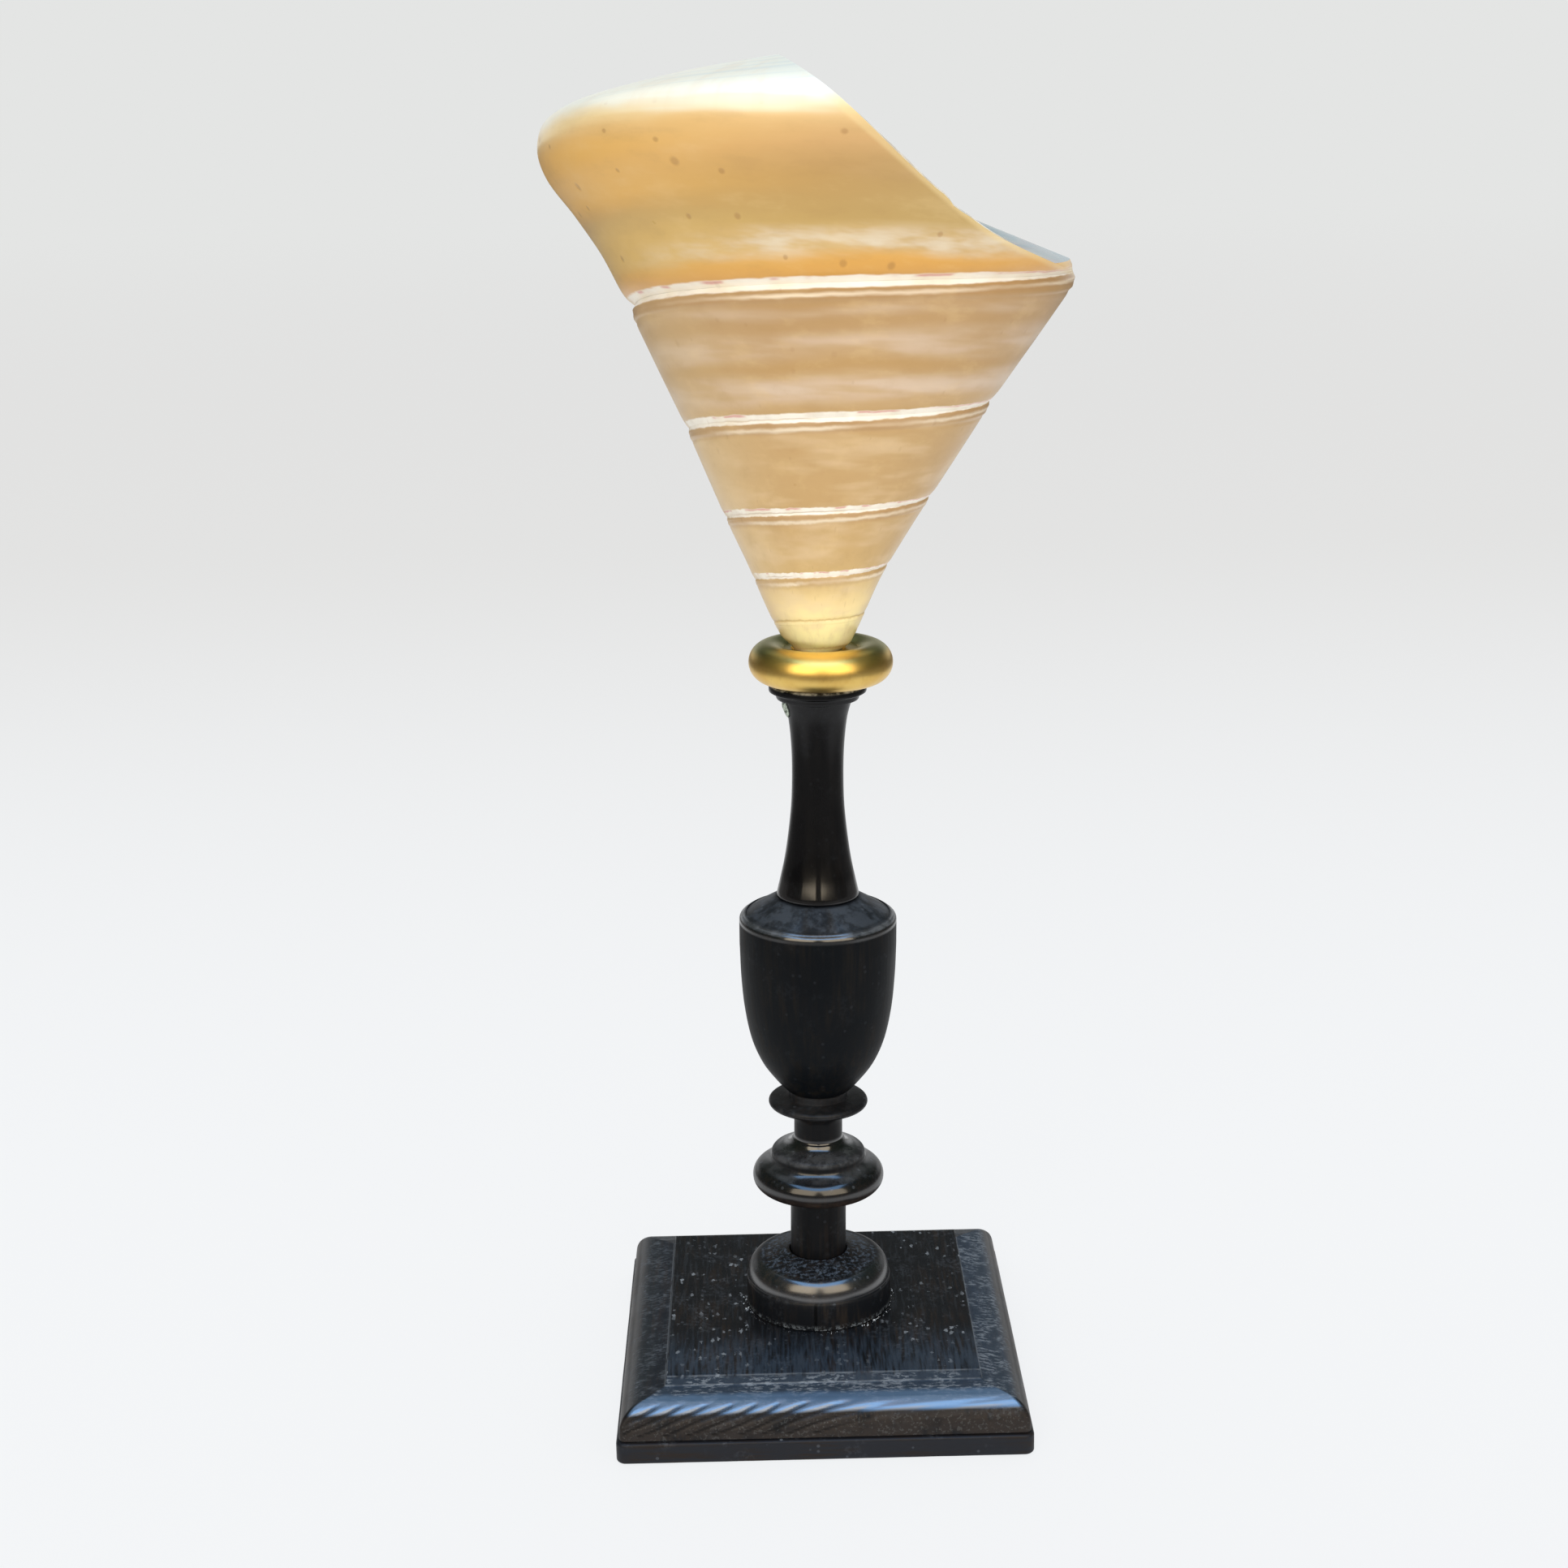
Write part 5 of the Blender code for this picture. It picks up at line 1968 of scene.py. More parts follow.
def moulded(
    name: str, profile: Profile, corner: Callable[[float], float], straight: int, bend: int
) -> Piece:
    """A square moulding with the profile round all four sides.

    Args:
        name: The piece's name.
        profile: (distance from the middle, height) points from the top's edge to the bottom's.
        corner: The corners' radius for a distance from the middle.
        straight: Points along each side.
        bend: Points round each corner.

    Returns:
        The piece.
    """
    rings = []
    for distance, height in profile:
        outline = rounded_square(2 * distance, corner(distance), straight, bend)
        rings.append([(x, y, height) for x, y in outline])
    return add_object(name, skinned(name, rings))


@dataclass
class Plinth:
    """The moulded block on its plain board."""

    board_side: float = 92.8 * MM
    board_top: float = 4.9 * MM
    board_corner: float = 2.2 * MM
    board_edge: float = 0.7 * MM
    block_side: float = 91.4 * MM
    block_top: float = 15.5 * MM
    panel_side: float = 70.3 * MM
    panel_step: float = 2.4 * MM
    land_drop: float = 0.7 * MM
    ovolo: float = 5.6 * MM
    ridge_height: float = 0.45 * MM
    ridge_spacing: float = 5.4 * MM

    def board(self) -> Piece:
        """The plain board, its edges a little rounded.

        Returns:
            The board.
        """
        half, edge = self.board_side / 2, self.board_edge
        profile = [(half - 20 * MM, self.board_top), (half - 4 * MM, self.board_top)]
        profile += arc((half - edge, self.board_top - edge), edge, 90, 0, 5)
        profile += [(half, self.board_top / 2)]
        profile += arc((half - edge, edge), edge, 0, -90, 5)
        profile += [(half - 4 * MM, 0.0), (half - 20 * MM, 0.0)]
        piece = moulded("board", profile, lambda d: max(0.3 * MM, d - half + self.board_corner), 60, 8)
        wood = Ebonised("ebonised_board", srgb(32, 34, 39), grain=(70.0, 1000.0, 900.0), dust=0.2, flecks=0.8)
        return worn(piece, wood, 0.05 * MM, 110.0, 5.0)

    def ridge_tree(self) -> bpy.types.NodeTree:
        """The tree that carves slanting, wood-grain ridges into the front moulding.

        Returns:
            The tree.
        """
        inputs = [("Ridge height", "Float", self.ridge_height), ("Spacing", "Float", self.ridge_spacing)]
        inputs += [("Half panel", "Float", self.panel_side / 2), ("Land height", "Float", 13.0 * MM)]
        inputs += [("Depth", "Float", 0.06 * MM), ("Seed", "Float", 0.0), ("Finish", "Material", None)]
        maker = TreeMaker("ridged_moulding", inputs)
        x, y, z = maker.separate(maker.place)
        outward = -y - maker.size("Half panel")
        fall = outward + (maker.size("Land height") - z)
        bend = x - 3.0 * MM
        eased = 0.5 * (bend + (bend * bend + (7.0 * MM) ** 2).root())
        shifted = maker.vector("ADD", maker.place, maker.combine(0.0, 0.0, maker.size("Seed")))
        drop = (fall - 5 * MM).most(0.0)
        slant = drop * (0.35 + drop * 80.0) + drop * eased * 30.0
        waver = (maker.noise(shifted, 60.0) - 0.5) * 0.8
        groove = ((x - eased * 0.84 + slant) / maker.size("Spacing") + waver).apply("FRACT").hump(0.5, 0.34)
        mask = (-y - abs(x)).rise(-0.6 * MM, 1.2 * MM) * (0.12 + 0.88 * outward.rise(5.5 * MM, 8.2 * MM))
        mask = mask * outward.rise(0.5 * MM, 1.2 * MM) * (1.0 - 0.7 * x.rise(-4 * MM, 16 * MM))
        ridge = groove * (mask * z.rise(5.6 * MM, 6.4 * MM))
        kept = {"Geometry": maker.entry["Geometry"], "Name": "ridge", "Value": ridge}
        domain = {"data_type": "FLOAT", "domain": "POINT"}
        stored = maker.node("GeometryNodeStoreNamedAttribute", domain, kept).outputs[0]
        wear = (maker.noise(maker.place, 90.0, 3.0) - 0.5) * 2.0 * maker.size("Depth")
        depth = wear * z.rise(5.3 * MM, 6.2 * MM) - ridge * maker.size("Ridge height")
        return maker.finished(maker.raised(stored, depth))

    def block(self) -> Piece:
        """The moulded block with its raised panel, sunken border and ridged front.

        Returns:
            The block.
        """
        half, outer = self.panel_side / 2, self.block_side / 2
        land, bottom = self.block_top - self.panel_step, self.board_top + GAP
        sharp = [(half - 6 * MM, self.block_top), (half, self.block_top), (half + 0.4 * MM, land)]
        sharp += arc((outer - self.ovolo, land - self.land_drop - self.ovolo), self.ovolo, 90, 4, 18)
        sharp += [(outer, bottom), (half, bottom)]
        profile = rounded(split(sharp, 0.9 * MM), 0.3 * MM, 2)
        inner = [(distance, self.block_top) for distance in (4 * MM, 12 * MM, 20 * MM)]

        def corner(distance: float) -> float:
            """Corner radius: sharp at the panel, worn round at the outside."""
            return 0.25 * MM + 1.1 * MM * fade(distance, half + 3 * MM, outer)

        piece = moulded("block", inner + profile, corner, 150, 6)
        values = {"Land height": land, "Seed": 2.0, "Finish": BlockWood().material()}
        return shade(use_tree(piece, self.ridge_tree(), values), 42.0)


@dataclass
class Foot:
    """The round foot on the panel, with the post's socket, and the glue round its bottom."""

    radius: float = 17.0 * MM
    bottom: float = 15.8 * MM
    cylinder_top: float = 22.6 * MM
    ovolo_top: float = 27.3 * MM
    ovolo_radius: float = 13.3 * MM
    top: float = 28.9 * MM
    post_radius: float = 6.5 * MM
    socket_depth: float = 6.0 * MM

    def glue(self) -> Piece:
        """Dried glue and dust beads round the foot's bottom, scattered on a circle by a tree.

        Returns:
            The beads.
        """
        inputs = [("Beads", "Int", 520), ("Radius", "Float", self.radius), ("Height", "Float", self.bottom)]
        inputs += [("Bead size", "Float", 0.62 * MM), ("Seed", "Int", 4), ("Finish", "Material", None)]
        maker = TreeMaker("glue_beads", inputs)
        reach = maker.size("Radius")

        def chance(low: float, high: float, offset: int) -> Flow:
            """A random number for each bead.

            Args:
                low: The least that it can be.
                high: The most.
                offset: Which number, added to the seed.

            Returns:
                The number.
            """
            inputs = {2: low, 3: high, "Seed": maker.size("Seed") + float(offset)}
            made = maker.node("FunctionNodeRandomValue", {"data_type": "FLOAT"}, inputs)
            return Flow(maker, made.outputs[1])

        x, y, _ = maker.separate(maker.place)
        clump = maker.noise(maker.place, 190.0, 3.0).rise(0.5, 0.68)
        side = (x / reach).rise(0.45, 0.8) * 0.8 + (-x / reach).rise(0.6, 0.9) * 0.45 + 0.22
        size = (chance(0.0, 1.0, 1) ** 4.0 * 0.9 + 0.1) * (clump * 0.85 + 0.15) * side
        size = size * maker.size("Bead size")
        out = 1.0 + chance(0.0, 1.0, 2) ** 2.0 * 0.06
        spot = maker.combine(x * out, y * out, maker.size("Height") - GAP + size * 0.2)
        turn = maker.combine(*(chance(0.0, math.tau, offset) for offset in (3, 4, 5)))
        scale = maker.combine(size, size * chance(0.6, 1.5, 6), size * chance(0.6, 1.1, 7))
        ring = maker.out("GeometryNodeMeshCircle", {"Vertices": maker.entry["Beads"], "Radius": reach})
        bead = maker.out("GeometryNodeMeshIcoSphere", {"Radius": 1.0, "Subdivisions": 2})
        placed = {"Points": maker.moved(ring, Position=spot), "Instance": bead}
        beads = maker.out("GeometryNodeInstanceOnPoints", placed | {"Rotation": turn, "Scale": scale})
        empty = add_object("glue", bpy.data.meshes.new("glue"))
        return shade(use_tree(empty, maker.finished(beads), {"Finish": Residue().material()}), 80.0)

    def build(self) -> Piece:
        """The foot and its glue.

        Returns:
            The foot.
        """
        hole, floor = self.post_radius + GAP, self.top - self.socket_depth - GAP
        profile = [(0.0, floor), (hole, floor), (hole, self.top)]
        width, rise = self.radius - 0.3 * MM - self.ovolo_radius, self.ovolo_top - self.cylinder_top
        for across, up in arc((0.0, 0.0), 1.0, 90, 0, 18):
            profile.append((self.ovolo_radius + width * across, self.cylinder_top + rise * up))
        profile += [(self.radius, self.cylinder_top - 0.4 * MM), (self.radius, self.bottom)]
        profile += STEM.tenon(self.bottom)
        profile = rounded(split(profile, 1.2 * MM), 0.25 * MM, 2)
        piece = turned("turned_foot", profile, leaning=False)
        wood = FootWood(dust=0.12, flecks=0.25, brown=srgb(42, 36, 31), coat_roughness=0.22)
        return join(worn(piece, wood, 0.04 * MM, 120.0, 1.0), self.glue())


@dataclass
class Spindle:
    """The post, the knop with its upper tier, the waist and the saucer, turned in one piece."""

    post_radius: float = 6.5 * MM
    post_bottom: float = 22.9 * MM
    knop_bottom: float = 42.4 * MM
    knop_middle: float = 48.0 * MM
    knop_radius: float = 15.3 * MM
    knop_bead: float = 3.1 * MM
    tier_radius: float = 10.85 * MM
    tier_bottom: float = 52.4 * MM
    tier_top: float = 54.6 * MM
    waist_radius: float = 5.6 * MM
    waist_bottom: float = 57.4 * MM
    waist_top: float = 61.4 * MM
    saucer_radius: float = 11.5 * MM
    saucer_top: float = 67.6 * MM
    top: float = 69.4 * MM

    def profile(self) -> Profile:
        """The outline from the socket at the top to the post's bottom.

        Returns:
            (radius, height) points.
        """
        cove = self.saucer_top - 2.1 * MM - self.waist_top
        profile = STEM.socket(self.top)
        profile += [(6.8 * MM, self.top), (6.8 * MM, self.saucer_top)]
        profile += [(self.saucer_radius - 0.5 * MM, self.saucer_top - 0.4 * MM)]
        profile += arc((self.saucer_radius - 0.8 * MM, self.saucer_top - 1.2 * MM), 0.8 * MM, 50, -60, 8)
        profile += arc((self.waist_radius + cove, self.waist_top), cove, 100, 180, 14)
        profile += [(self.waist_radius, self.waist_bottom)]
        profile += arc((self.tier_radius - 1.6 * MM, self.waist_bottom + 1.4 * MM), 3.6 * MM, 208, 262, 10)
        tier = self.tier_radius
        profile += [(tier - 0.5 * MM, self.tier_top), (tier, self.tier_top - 0.6 * MM)]
        profile += [(tier, self.tier_bottom), (tier + 0.6 * MM, self.tier_bottom - 0.6 * MM)]
        profile += arc((self.knop_radius - self.knop_bead, self.knop_middle), self.knop_bead, 68, -78, 22)
        profile += [(self.post_radius + 2.2 * MM, self.knop_bottom + 0.9 * MM)]
        profile += [(self.post_radius, self.knop_bottom)]
        return profile + [(self.post_radius, self.post_bottom), (0.0, self.post_bottom)]

    def build(self) -> Piece:
        """The turned piece.

        Returns:
            The spindle.
        """
        piece = turned("turned_spindle", rounded(split(self.profile(), 1.2 * MM), 0.25 * MM, 2))
        grey, brown = (104, 106, 108), (62, 50, 42)
        bands = (
            StemBand(self.saucer_top - 1.3 * MM, self.top, 0.5 * MM, grey, 0.12, 0.6),
            StemBand(self.tier_top - 0.9 * MM, self.tier_top + 1.2 * MM, 0.5 * MM, grey, 0.4, 0.7),
            StemBand(self.knop_bottom, self.knop_middle - 0.8 * MM, 0.9 * MM, brown, 0.5, 0.6),
            StemBand(self.tier_bottom - 1.4 * MM, self.tier_bottom, 0.4 * MM, grey, 0.25, 0.7),
            StemBand(self.knop_middle - 0.5 * MM, self.tier_bottom, 0.5 * MM, coat=0.45),
            StemBand(self.waist_bottom - 2.4 * MM, self.waist_bottom + 0.6 * MM, 0.5 * MM, coat=0.8),
            StemBand(self.saucer_top - 2.6 * MM, self.saucer_top - 1.4 * MM, 0.3 * MM, coat=0.25),
        )
        wood = StemWood("ebonised_spindle", dust=0.1, flecks=0.2, gloss=0.4, coat_roughness=0.16, bands=bands)
        return worn(piece, wood, 0.05 * MM, 100.0, 7.0)


@dataclass
class Urn:
    """The urn: a tall belly under a sharp shoulder, with a step and a low dome on top."""

    bottom: float = 69.7 * MM
    foot_radius: float = 7.4 * MM
    radius: float = 17.9 * MM
    edge: float = 111.2 * MM
    step_radius: float = 16.3 * MM
    step_top: float = 112.4 * MM
    top: float = 116.4 * MM

    def build(self) -> Piece:
        """The turned piece.

        Returns:
            The urn.
        """
        belly = [(self.radius, self.edge - 6.0 * MM), (17.6 * MM, 97.5 * MM), (16.85 * MM, 89.7 * MM)]
        belly += [(15.4 * MM, 82.6 * MM), (13.1 * MM, 77.0 * MM), (10.0 * MM, 72.6 * MM)]
        dome = [(9.6 * MM, self.top), (13.2 * MM, 114.3 * MM), (self.step_radius, self.step_top)]
        profile = STEM.socket(self.top) + curve(dome, 8)
        profile += [(self.step_radius, self.edge + 1.5 * MM), (self.radius - 1.1 * MM, self.edge + 1.2 * MM)]
        profile += arc((self.radius - 1.2 * MM, self.edge - 0.2 * MM), 1.2 * MM, 75, 0, 8)
        profile += curve([*belly, (self.foot_radius, self.bottom)], 8) + STEM.tenon(self.bottom)
        piece = turned("turned_urn", rounded(split(profile, 1.5 * MM), 0.2 * MM, 2))
        step = (self.edge + 1.5 * MM, self.step_top - 0.2 * MM)
        bands = (
            StemBand(self.edge + 0.5 * MM, self.edge + 1.25 * MM, 0.25 * MM, (112, 116, 122), 0.55, 0.6),
            StemBand(*step, 0.3 * MM, (60, 50, 42), 0.6, 0.5),
            StemBand(self.step_top + 0.2 * MM, self.top, 0.5 * MM, (78, 86, 96), 0.5, 0.7),
            StemBand(self.edge - 0.7 * MM, self.edge + 1.2 * MM, 0.3 * MM, coat=0.7),
            StemBand(self.step_top + 0.2 * MM, self.top, 0.5 * MM, coat=0.15),
        )
        wood = StemWood("ebonised_urn", srgb(11, 14, 17), srgb(23, 21, 19), bands=bands)
        wood = replace(wood, grain=(700.0, 700.0, 60.0))
        wood = replace(wood, dust=0.05, flecks=0.15, gloss=0.46, specular=0.05, coat_roughness=0.16)
        return worn(piece, wood, 0.04 * MM, 80.0, 3.0)


@dataclass
class Neck:
    """The slim neck: it flares at its foot and spreads to a stepped collar under the ring."""

    bottom: float = 116.7 * MM
    flare_radius: float = 9.3 * MM
    radius: float = 5.85 * MM
    collar_radius: float = 10.9 * MM
    collar_bottom: float = 162.2 * MM
    collar_top: float = 166.0 * MM

    def drip(self) -> Piece:
        """A small drip of glue on the left, from the collar's underside to the neck.

        Returns:
            The drip.
        """
        shape = bmesh.new()
        bmesh.ops.create_icosphere(shape, subdivisions=4, radius=1.0)
        middle = Vector((-7.5 * MM, -1.8 * MM, self.collar_bottom - 1.5 * MM))
        for vert in shape.verts:
            x, y, z = vert.co
            wavy = 1 + 0.16 * math.sin(5 * x + 3 * z) + 0.1 * math.sin(7 * y)
            down = 0.5 * (1 - z)
            across = x * (0.85 - 0.35 * down) * wavy * MM + 0.9 * MM * down
            vert.co = middle + Vector((across, y * 0.7 * wavy * MM, z * 2.3 * MM))
        mesh = from_shape("glue_drip", shape)
        mesh.transform(STEM.matrix())
        glue = Residue("glue_drip", pale=srgb(176, 186, 172), dull=srgb(96, 106, 96), gloss=0.25)
        mesh.materials.append(glue.material())
        return shade(add_object("glue_drip", mesh), 80.0)

    def build(self) -> Piece:
        """The turned piece with its drip.

        Returns:
            The neck.
        """
        top, flare = self.collar_top, (self.flare_radius, self.bottom + 0.6 * MM)
        sides = [(7.6 * MM, self.collar_bottom), (6.5 * MM, 157.6 * MM), (self.radius, 150.0 * MM)]
        sides += [(self.radius, 141.0 * MM), (6.35 * MM, 134.0 * MM), (7.5 * MM, 125.5 * MM), flare]
        profile = [(0.0, top), (self.collar_radius - 0.4 * MM, top), (self.collar_radius, top - 0.5 * MM)]
        profile += [(self.collar_radius, top - 1.8 * MM), (9.4 * MM, top - 2.2 * MM)]
        profile += [(9.2 * MM, self.collar_bottom + 0.3 * MM)]
        profile += curve(sides, 10) + [(self.flare_radius, self.bottom)] + STEM.tenon(self.bottom)
        piece = turned("turned_neck", rounded(split(profile, 1.2 * MM), 0.25 * MM, 2))
        chips = StemBand(top - 0.55 * MM, top - 0.05 * MM, 0.2 * MM, (190, 182, 160), 0.7, 1.0)
        gloss = StemBand(self.bottom, self.bottom + 4.5 * MM, 1.5 * MM, coat=0.35)
        wood = StemWood("ebonised_neck", srgb(8, 8, 9), srgb(16, 14, 13), bands=(chips, gloss))
        wood = replace(wood, grain=(600.0, 600.0, 30.0), gloss=0.3, dust=0.04, flecks=0.06)
        wood = replace(wood, coat=0.13, coat_roughness=0.1)
        return join(worn(piece, wood, 0.03 * MM, 60.0, 9.0), self.drip())


@dataclass
class BrassRing:
    """The fat brass ring with its dished middle, and the seat for the shell's point."""

    bottom: float = 166.3 * MM
    radius: float = 16.0 * MM
    tube: float = 4.45 * MM
    dish: float = 173.8 * MM
    offset: float = 0.7 * MM

    def build(self, shell: ShellHalf) -> Piece:
        """The ring, seated to the shell.

        Args:
            shell: The shell, whose point fits the seat.

        Returns:
            The ring.
        """
        centre = (self.radius - self.tube, self.bottom + self.tube)
        inner = math.degrees(math.asin((self.dish - centre[1]) / self.tube))
        profile = [(0.0, self.dish), (3 * MM, self.dish), (6 * MM, self.dish)]
        profile += arc(centre, self.tube, 180 - inner, -90, 56)
        profile += [(6 * MM, self.bottom), (0.0, self.bottom)]
        piece = turned("dished_ring", profile, leaning=False)
        piece.data.transform(STEM.matrix() @ Matrix.Translation((self.offset, 0.0, 0.0)))
        cut(piece, [(shell.point_seat(), "DIFFERENCE")])
        return worn(piece, RubbedBrass(), 0.03 * MM, 90.0, 6.0)


# --- studio ---


@dataclass(frozen=True)
class Seen:
    """Colours that the camera, gloss and glass see, apart from what lights the object."""

    sky: Colour = srgb(228, 229, 228)
    far: Colour = srgb(230, 230, 229)
    near: Colour = srgb(245, 247, 249)
    front: Colour = srgb(245, 246, 249)
    room_front: Colour = srgb(72, 69, 66)
    room_above: Colour = srgb(44, 56, 44)
    room_behind: Colour = srgb(224, 226, 228)
    floor_front: Colour = srgb(78, 73, 68)


def panel(name: str, width: float, height: float) -> tuple[Piece, Maker]:
    """A flat, level panel with an empty material.

    Args:
        name: The name of the panel and its material.
        width: Its width.
        height: Its depth.

    Returns:
        The panel, and the maker of its material.
    """
    x, y = width / 2, height / 2
    mesh = bpy.data.meshes.new(name)
    mesh.from_pydata([(-x, -y, 0.0), (x, -y, 0.0), (x, y, 0.0), (-x, y, 0.0)], [], [(0, 1, 2, 3)])
    material = bpy.data.materials.new(name)
    material.use_nodes = True
    material.node_tree.nodes.clear()
    mesh.materials.append(material)
    return add_object(name, mesh), Maker(material.node_tree)


@dataclass
class Studio:
    """The floor, the world, the lamps, the cards that gloss reflects, and the camera."""

    seen: Seen = field(default_factory=Seen)
    ambient: float = 0.61
    floor_width: float = 24.0
    sensor: float = 36.0  # mm
    lens: float = 55.1552795  # mm
    place: Vector = field(default_factory=lambda: Vector((-7.56, -519.4, 285.67)) * MM)  # the camera's
    down: float = math.radians(15.4)
    roll: float = math.radians(-0.3)
    target: Vector = field(default_factory=lambda: Vector((0.0, 0.0, 0.2)))

    @staticmethod
    def rays(maker: Maker) -> tuple[Flow, Flow]:
        """Which rays arrive.

        Args:
            maker: The shader's maker.

        Returns:
            1 for rays that see the background, and 1 for glossy ones alone.
        """
        path = maker.node("ShaderNodeLightPath")
        names = ("Is Camera Ray", "Is Glossy Ray", "Is Transmission Ray")
        camera, glossy, through = (Flow(maker, path.outputs[name]) for name in names)
        return (camera + glossy + through).clamp(), glossy

    def world(self) -> None:
        """A plain world: one light level, a pale backdrop, and for gloss a room that is darker in front."""
        world = bpy.data.worlds.new("studio")
        world.use_nodes = True
        bpy.context.scene.world = world
        maker = Maker(world.node_tree)
        seen, glossy = self.rays(maker)
        across, back, up = maker.separate(maker.node("ShaderNodeTexCoord").outputs["Generated"])
        dark = maker.mix(up.rise(0.0, 0.5), self.seen.room_front, self.seen.room_above)
        paper = back.rise(0.0, 0.6) * abs(across).rise(0.86, 0.46) * up.rise(0.40, 0.16)
        room = maker.mix(paper, dark, self.seen.room_behind)
        behind = maker.mix(glossy, self.seen.sky, room)
        light = (self.ambient, self.ambient, self.ambient * 1.02, 1.0)
        colour = world.node_tree.nodes["Background"].inputs["Color"]
        maker.feed(colour, maker.mix(seen, light, behind))

    def floor(self) -> None:
        """A wide pale floor that keeps the object's shadow."""
        floor, maker = panel("floor", self.floor_width, self.floor_width)
        x, y, _ = maker.separate(maker.node("ShaderNodeTexCoord").outputs["Object"])
        seen, glossy = self.rays(maker)
        near = maker.mix(y.rise(-0.115, -0.07), self.seen.front, self.seen.near)
        far = y.rise(1.0, 7.0)
        colour = maker.mix(far, maker.mix(y.rise(0.05, 1.2), near, self.seen.far), self.seen.sky)
        paper = y.rise(-0.36, -0.12) * abs(x).rise(0.50, 0.24)
        colour = maker.mix(glossy * (1.0 - paper) * 0.92, colour, self.seen.floor_front)
        matte = maker.out("ShaderNodeBsdfDiffuse", {"Color": srgb(232, 232, 232)})
        glow = maker.out("ShaderNodeEmission", {"Color": colour, "Strength": 1.0})
        mixed = {0: seen * (0.88 + 0.12 * far), 1: matte, 2: glow}
        surface = maker.out("ShaderNodeMixShader", mixed)
        maker.node("ShaderNodeOutputMaterial", None, {"Surface": surface})

    def lamp(self, name: str, place: Vector, size: float, power: float, colour: Colour) -> None:
        """A square area lamp that faces the object.

        Args:
            name: Its name.
            place: Where it hangs.
            size: Width of the square.
            power: Its power.
            colour: Its colour.
        """
        data = bpy.data.lights.new(name, "AREA")
        data.shape = "SQUARE"
        data.size = size
        data.energy = power
        data.color = colour[:3]
        lamp = bpy.data.objects.new(name, data)
        bpy.context.scene.collection.objects.link(lamp)
        lamp.visible_glossy = False
        lamp.location = place
        lamp.rotation_euler = (self.target - place).to_track_quat("-Z", "Y").to_euler()

    def card(
        self, name: str, place: Vector, width: float, height: float, colour: Colour, strength: float
    ) -> None:
        """A card that only gloss sees, facing the object.

        Args:
            name: Its name.
            place: Its middle.
            width: Its width.
            height: Its height.
            colour: Its colour.
            strength: Its brightness.
        """
        card, maker = panel(name, width, height)
        turn = (self.target - place).to_track_quat("Z", "Y").to_matrix().to_4x4()
        card.data.transform(Matrix.Translation(place) @ turn)
        glow = maker.out("ShaderNodeEmission", {"Color": colour, "Strength": strength})
        maker.node("ShaderNodeOutputMaterial", None, {"Surface": glow})
        card.visible_camera = card.visible_diffuse = False
        card.visible_shadow = card.visible_transmission = False

    def camera(self) -> None:
        """The camera: a little above the shell's middle, looking down at the stand."""
        data = bpy.data.cameras.new("camera")
        data.sensor_width, data.lens, data.clip_start = self.sensor, self.lens, 10 * MM
        camera = bpy.data.objects.new("camera", data)
        bpy.context.scene.collection.objects.link(camera)
        turn, roll = (Matrix.Rotation(angle, 4, "Z") for angle in (SEAT.turn, self.roll))
        pitch = Matrix.Rotation(math.pi / 2 - self.down, 4, "X")
        camera.matrix_world = STEM.matrix() @ turn @ Matrix.Translation(self.place) @ pitch @ roll
        bpy.context.scene.camera = camera

    def build(self) -> None:
        """Sets the stage."""
        self.world()
        self.floor()
        self.lamp("key", Vector((-0.35, -1.25, 0.85)), 0.9, 9.0, srgb(255, 253, 250))
        self.lamp("fill", Vector((0.75, -1.1, 0.12)), 0.9, 7.5, srgb(252, 253, 255))
        self.lamp("top", Vector((0.0, 0.25, 1.3)), 0.9, 4.0, srgb(250, 253, 255))
        self.card("window_card", Vector((0.02, -0.21, 1.12)), 1.0, 0.96, srgb(150, 200, 255), 3.6)
        warm = srgb(255, 238, 210)
        self.card("left_card", Vector((-0.195, -0.37, 0.38)), 0.37, 0.42, warm, 2.7)
        self.card("right_card", Vector((0.200, -0.37, 0.38)), 0.37, 0.42, warm, 2.5)
        self.card("back_card", Vector((0.0, 0.17, 0.45)), 0.40, 0.24, srgb(226, 244, 255), 0.4)
        self.camera()
        bpy.context.scene.view_settings.view_transform = "Standard"


# --- putting it together ---


class Slot(Enum):
    """Five finish names, which nothing in the script uses."""

    NACRE = "nacre"
    BRASS = "brass"
    POLISHED = "ebonised_polished"
    MATTE = "ebonised_matte"
    WORN = "ebonised_worn"


def fit(piece: Piece, node: str) -> None:
    """Puts a finished piece in the place of its CAD node.

    Args:
        piece: The piece.
        node: The node it stands for.
    """
    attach(piece, BODY)
    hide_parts(node)
    low, high = map(np.array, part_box(node))
    points = np.empty(len(piece.data.vertices) * 3, np.float32)
    piece.data.vertices.foreach_get("co", points)
    points = points.reshape(-1, 3)
    over = 1000 * max((low - points.min(axis=0)).max(), (points.max(axis=0) - high).max())
    piece.data.calc_loop_triangles()
    count = len(piece.data.loop_triangles)
    LOG.info("%s for %s: %d triangles, %.2f mm past its node", piece.name, node, count, over)


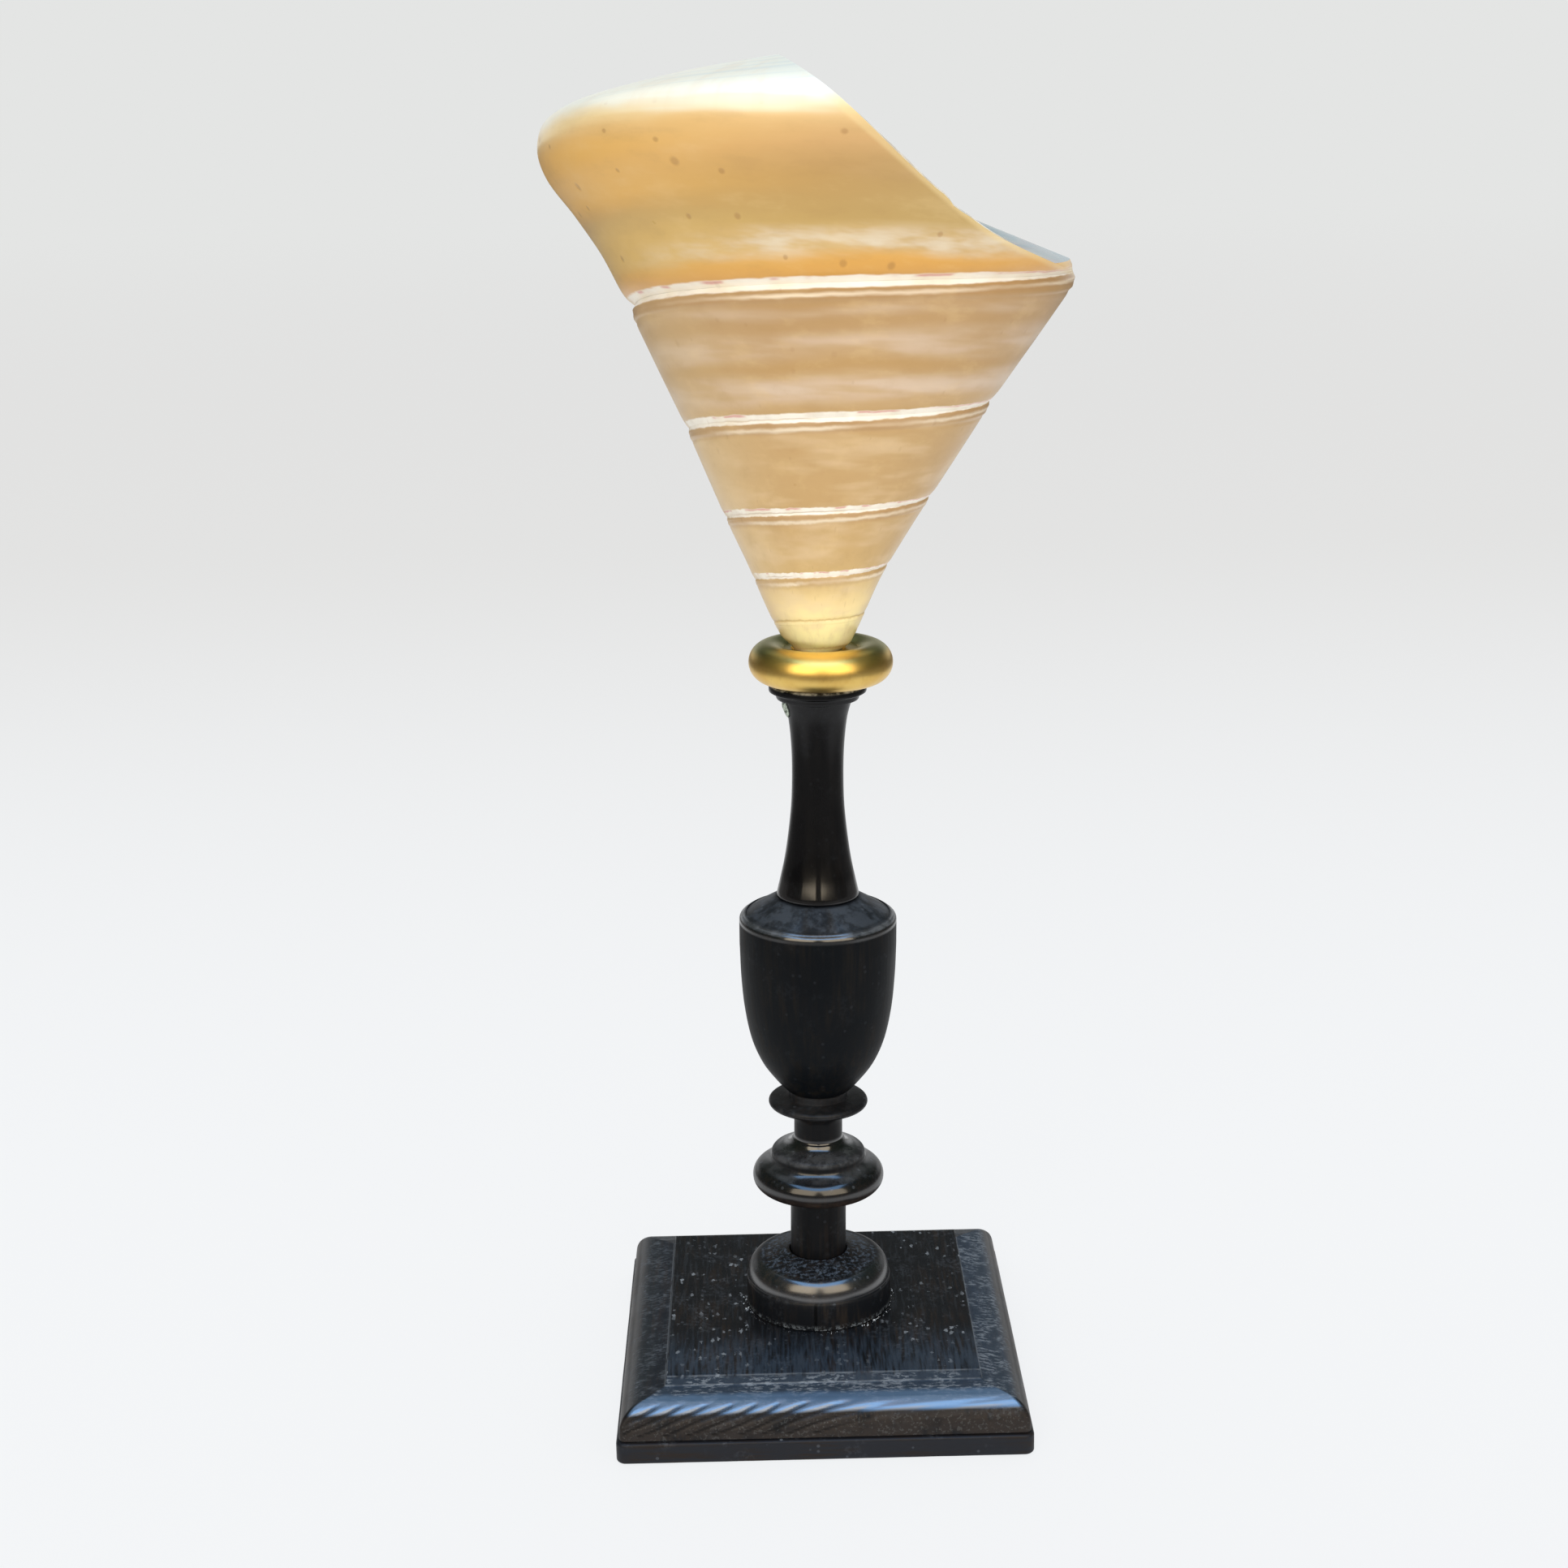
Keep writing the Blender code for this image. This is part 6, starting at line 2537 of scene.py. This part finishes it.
def main() -> None:
    """Builds the stage and every piece, in order from the floor up."""
    logging.basicConfig(level=logging.INFO, format="%(message)s", stream=sys.stdout)
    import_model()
    Studio().build()
    plinth = Plinth()
    fit(plinth.board(), "plinth_board")
    fit(plinth.block(), "plinth_block")
    fit(Foot().build(), "foot")
    fit(Spindle().build(), "spindle")
    fit(Urn().build(), "urn")
    fit(Neck().build(), "neck")
    shell = ShellHalf()
    fit(BrassRing().build(shell), "brass_ring")
    finishes = {
        Zone.OUTER: PolishedShell().material(),
        Zone.INNER: InnerNacre().material(),
        Zone.CUT: SawnShell().material(),
    }
    fit(shell.build(finishes), "shell_half")


if __name__ == "__main__":
    main()
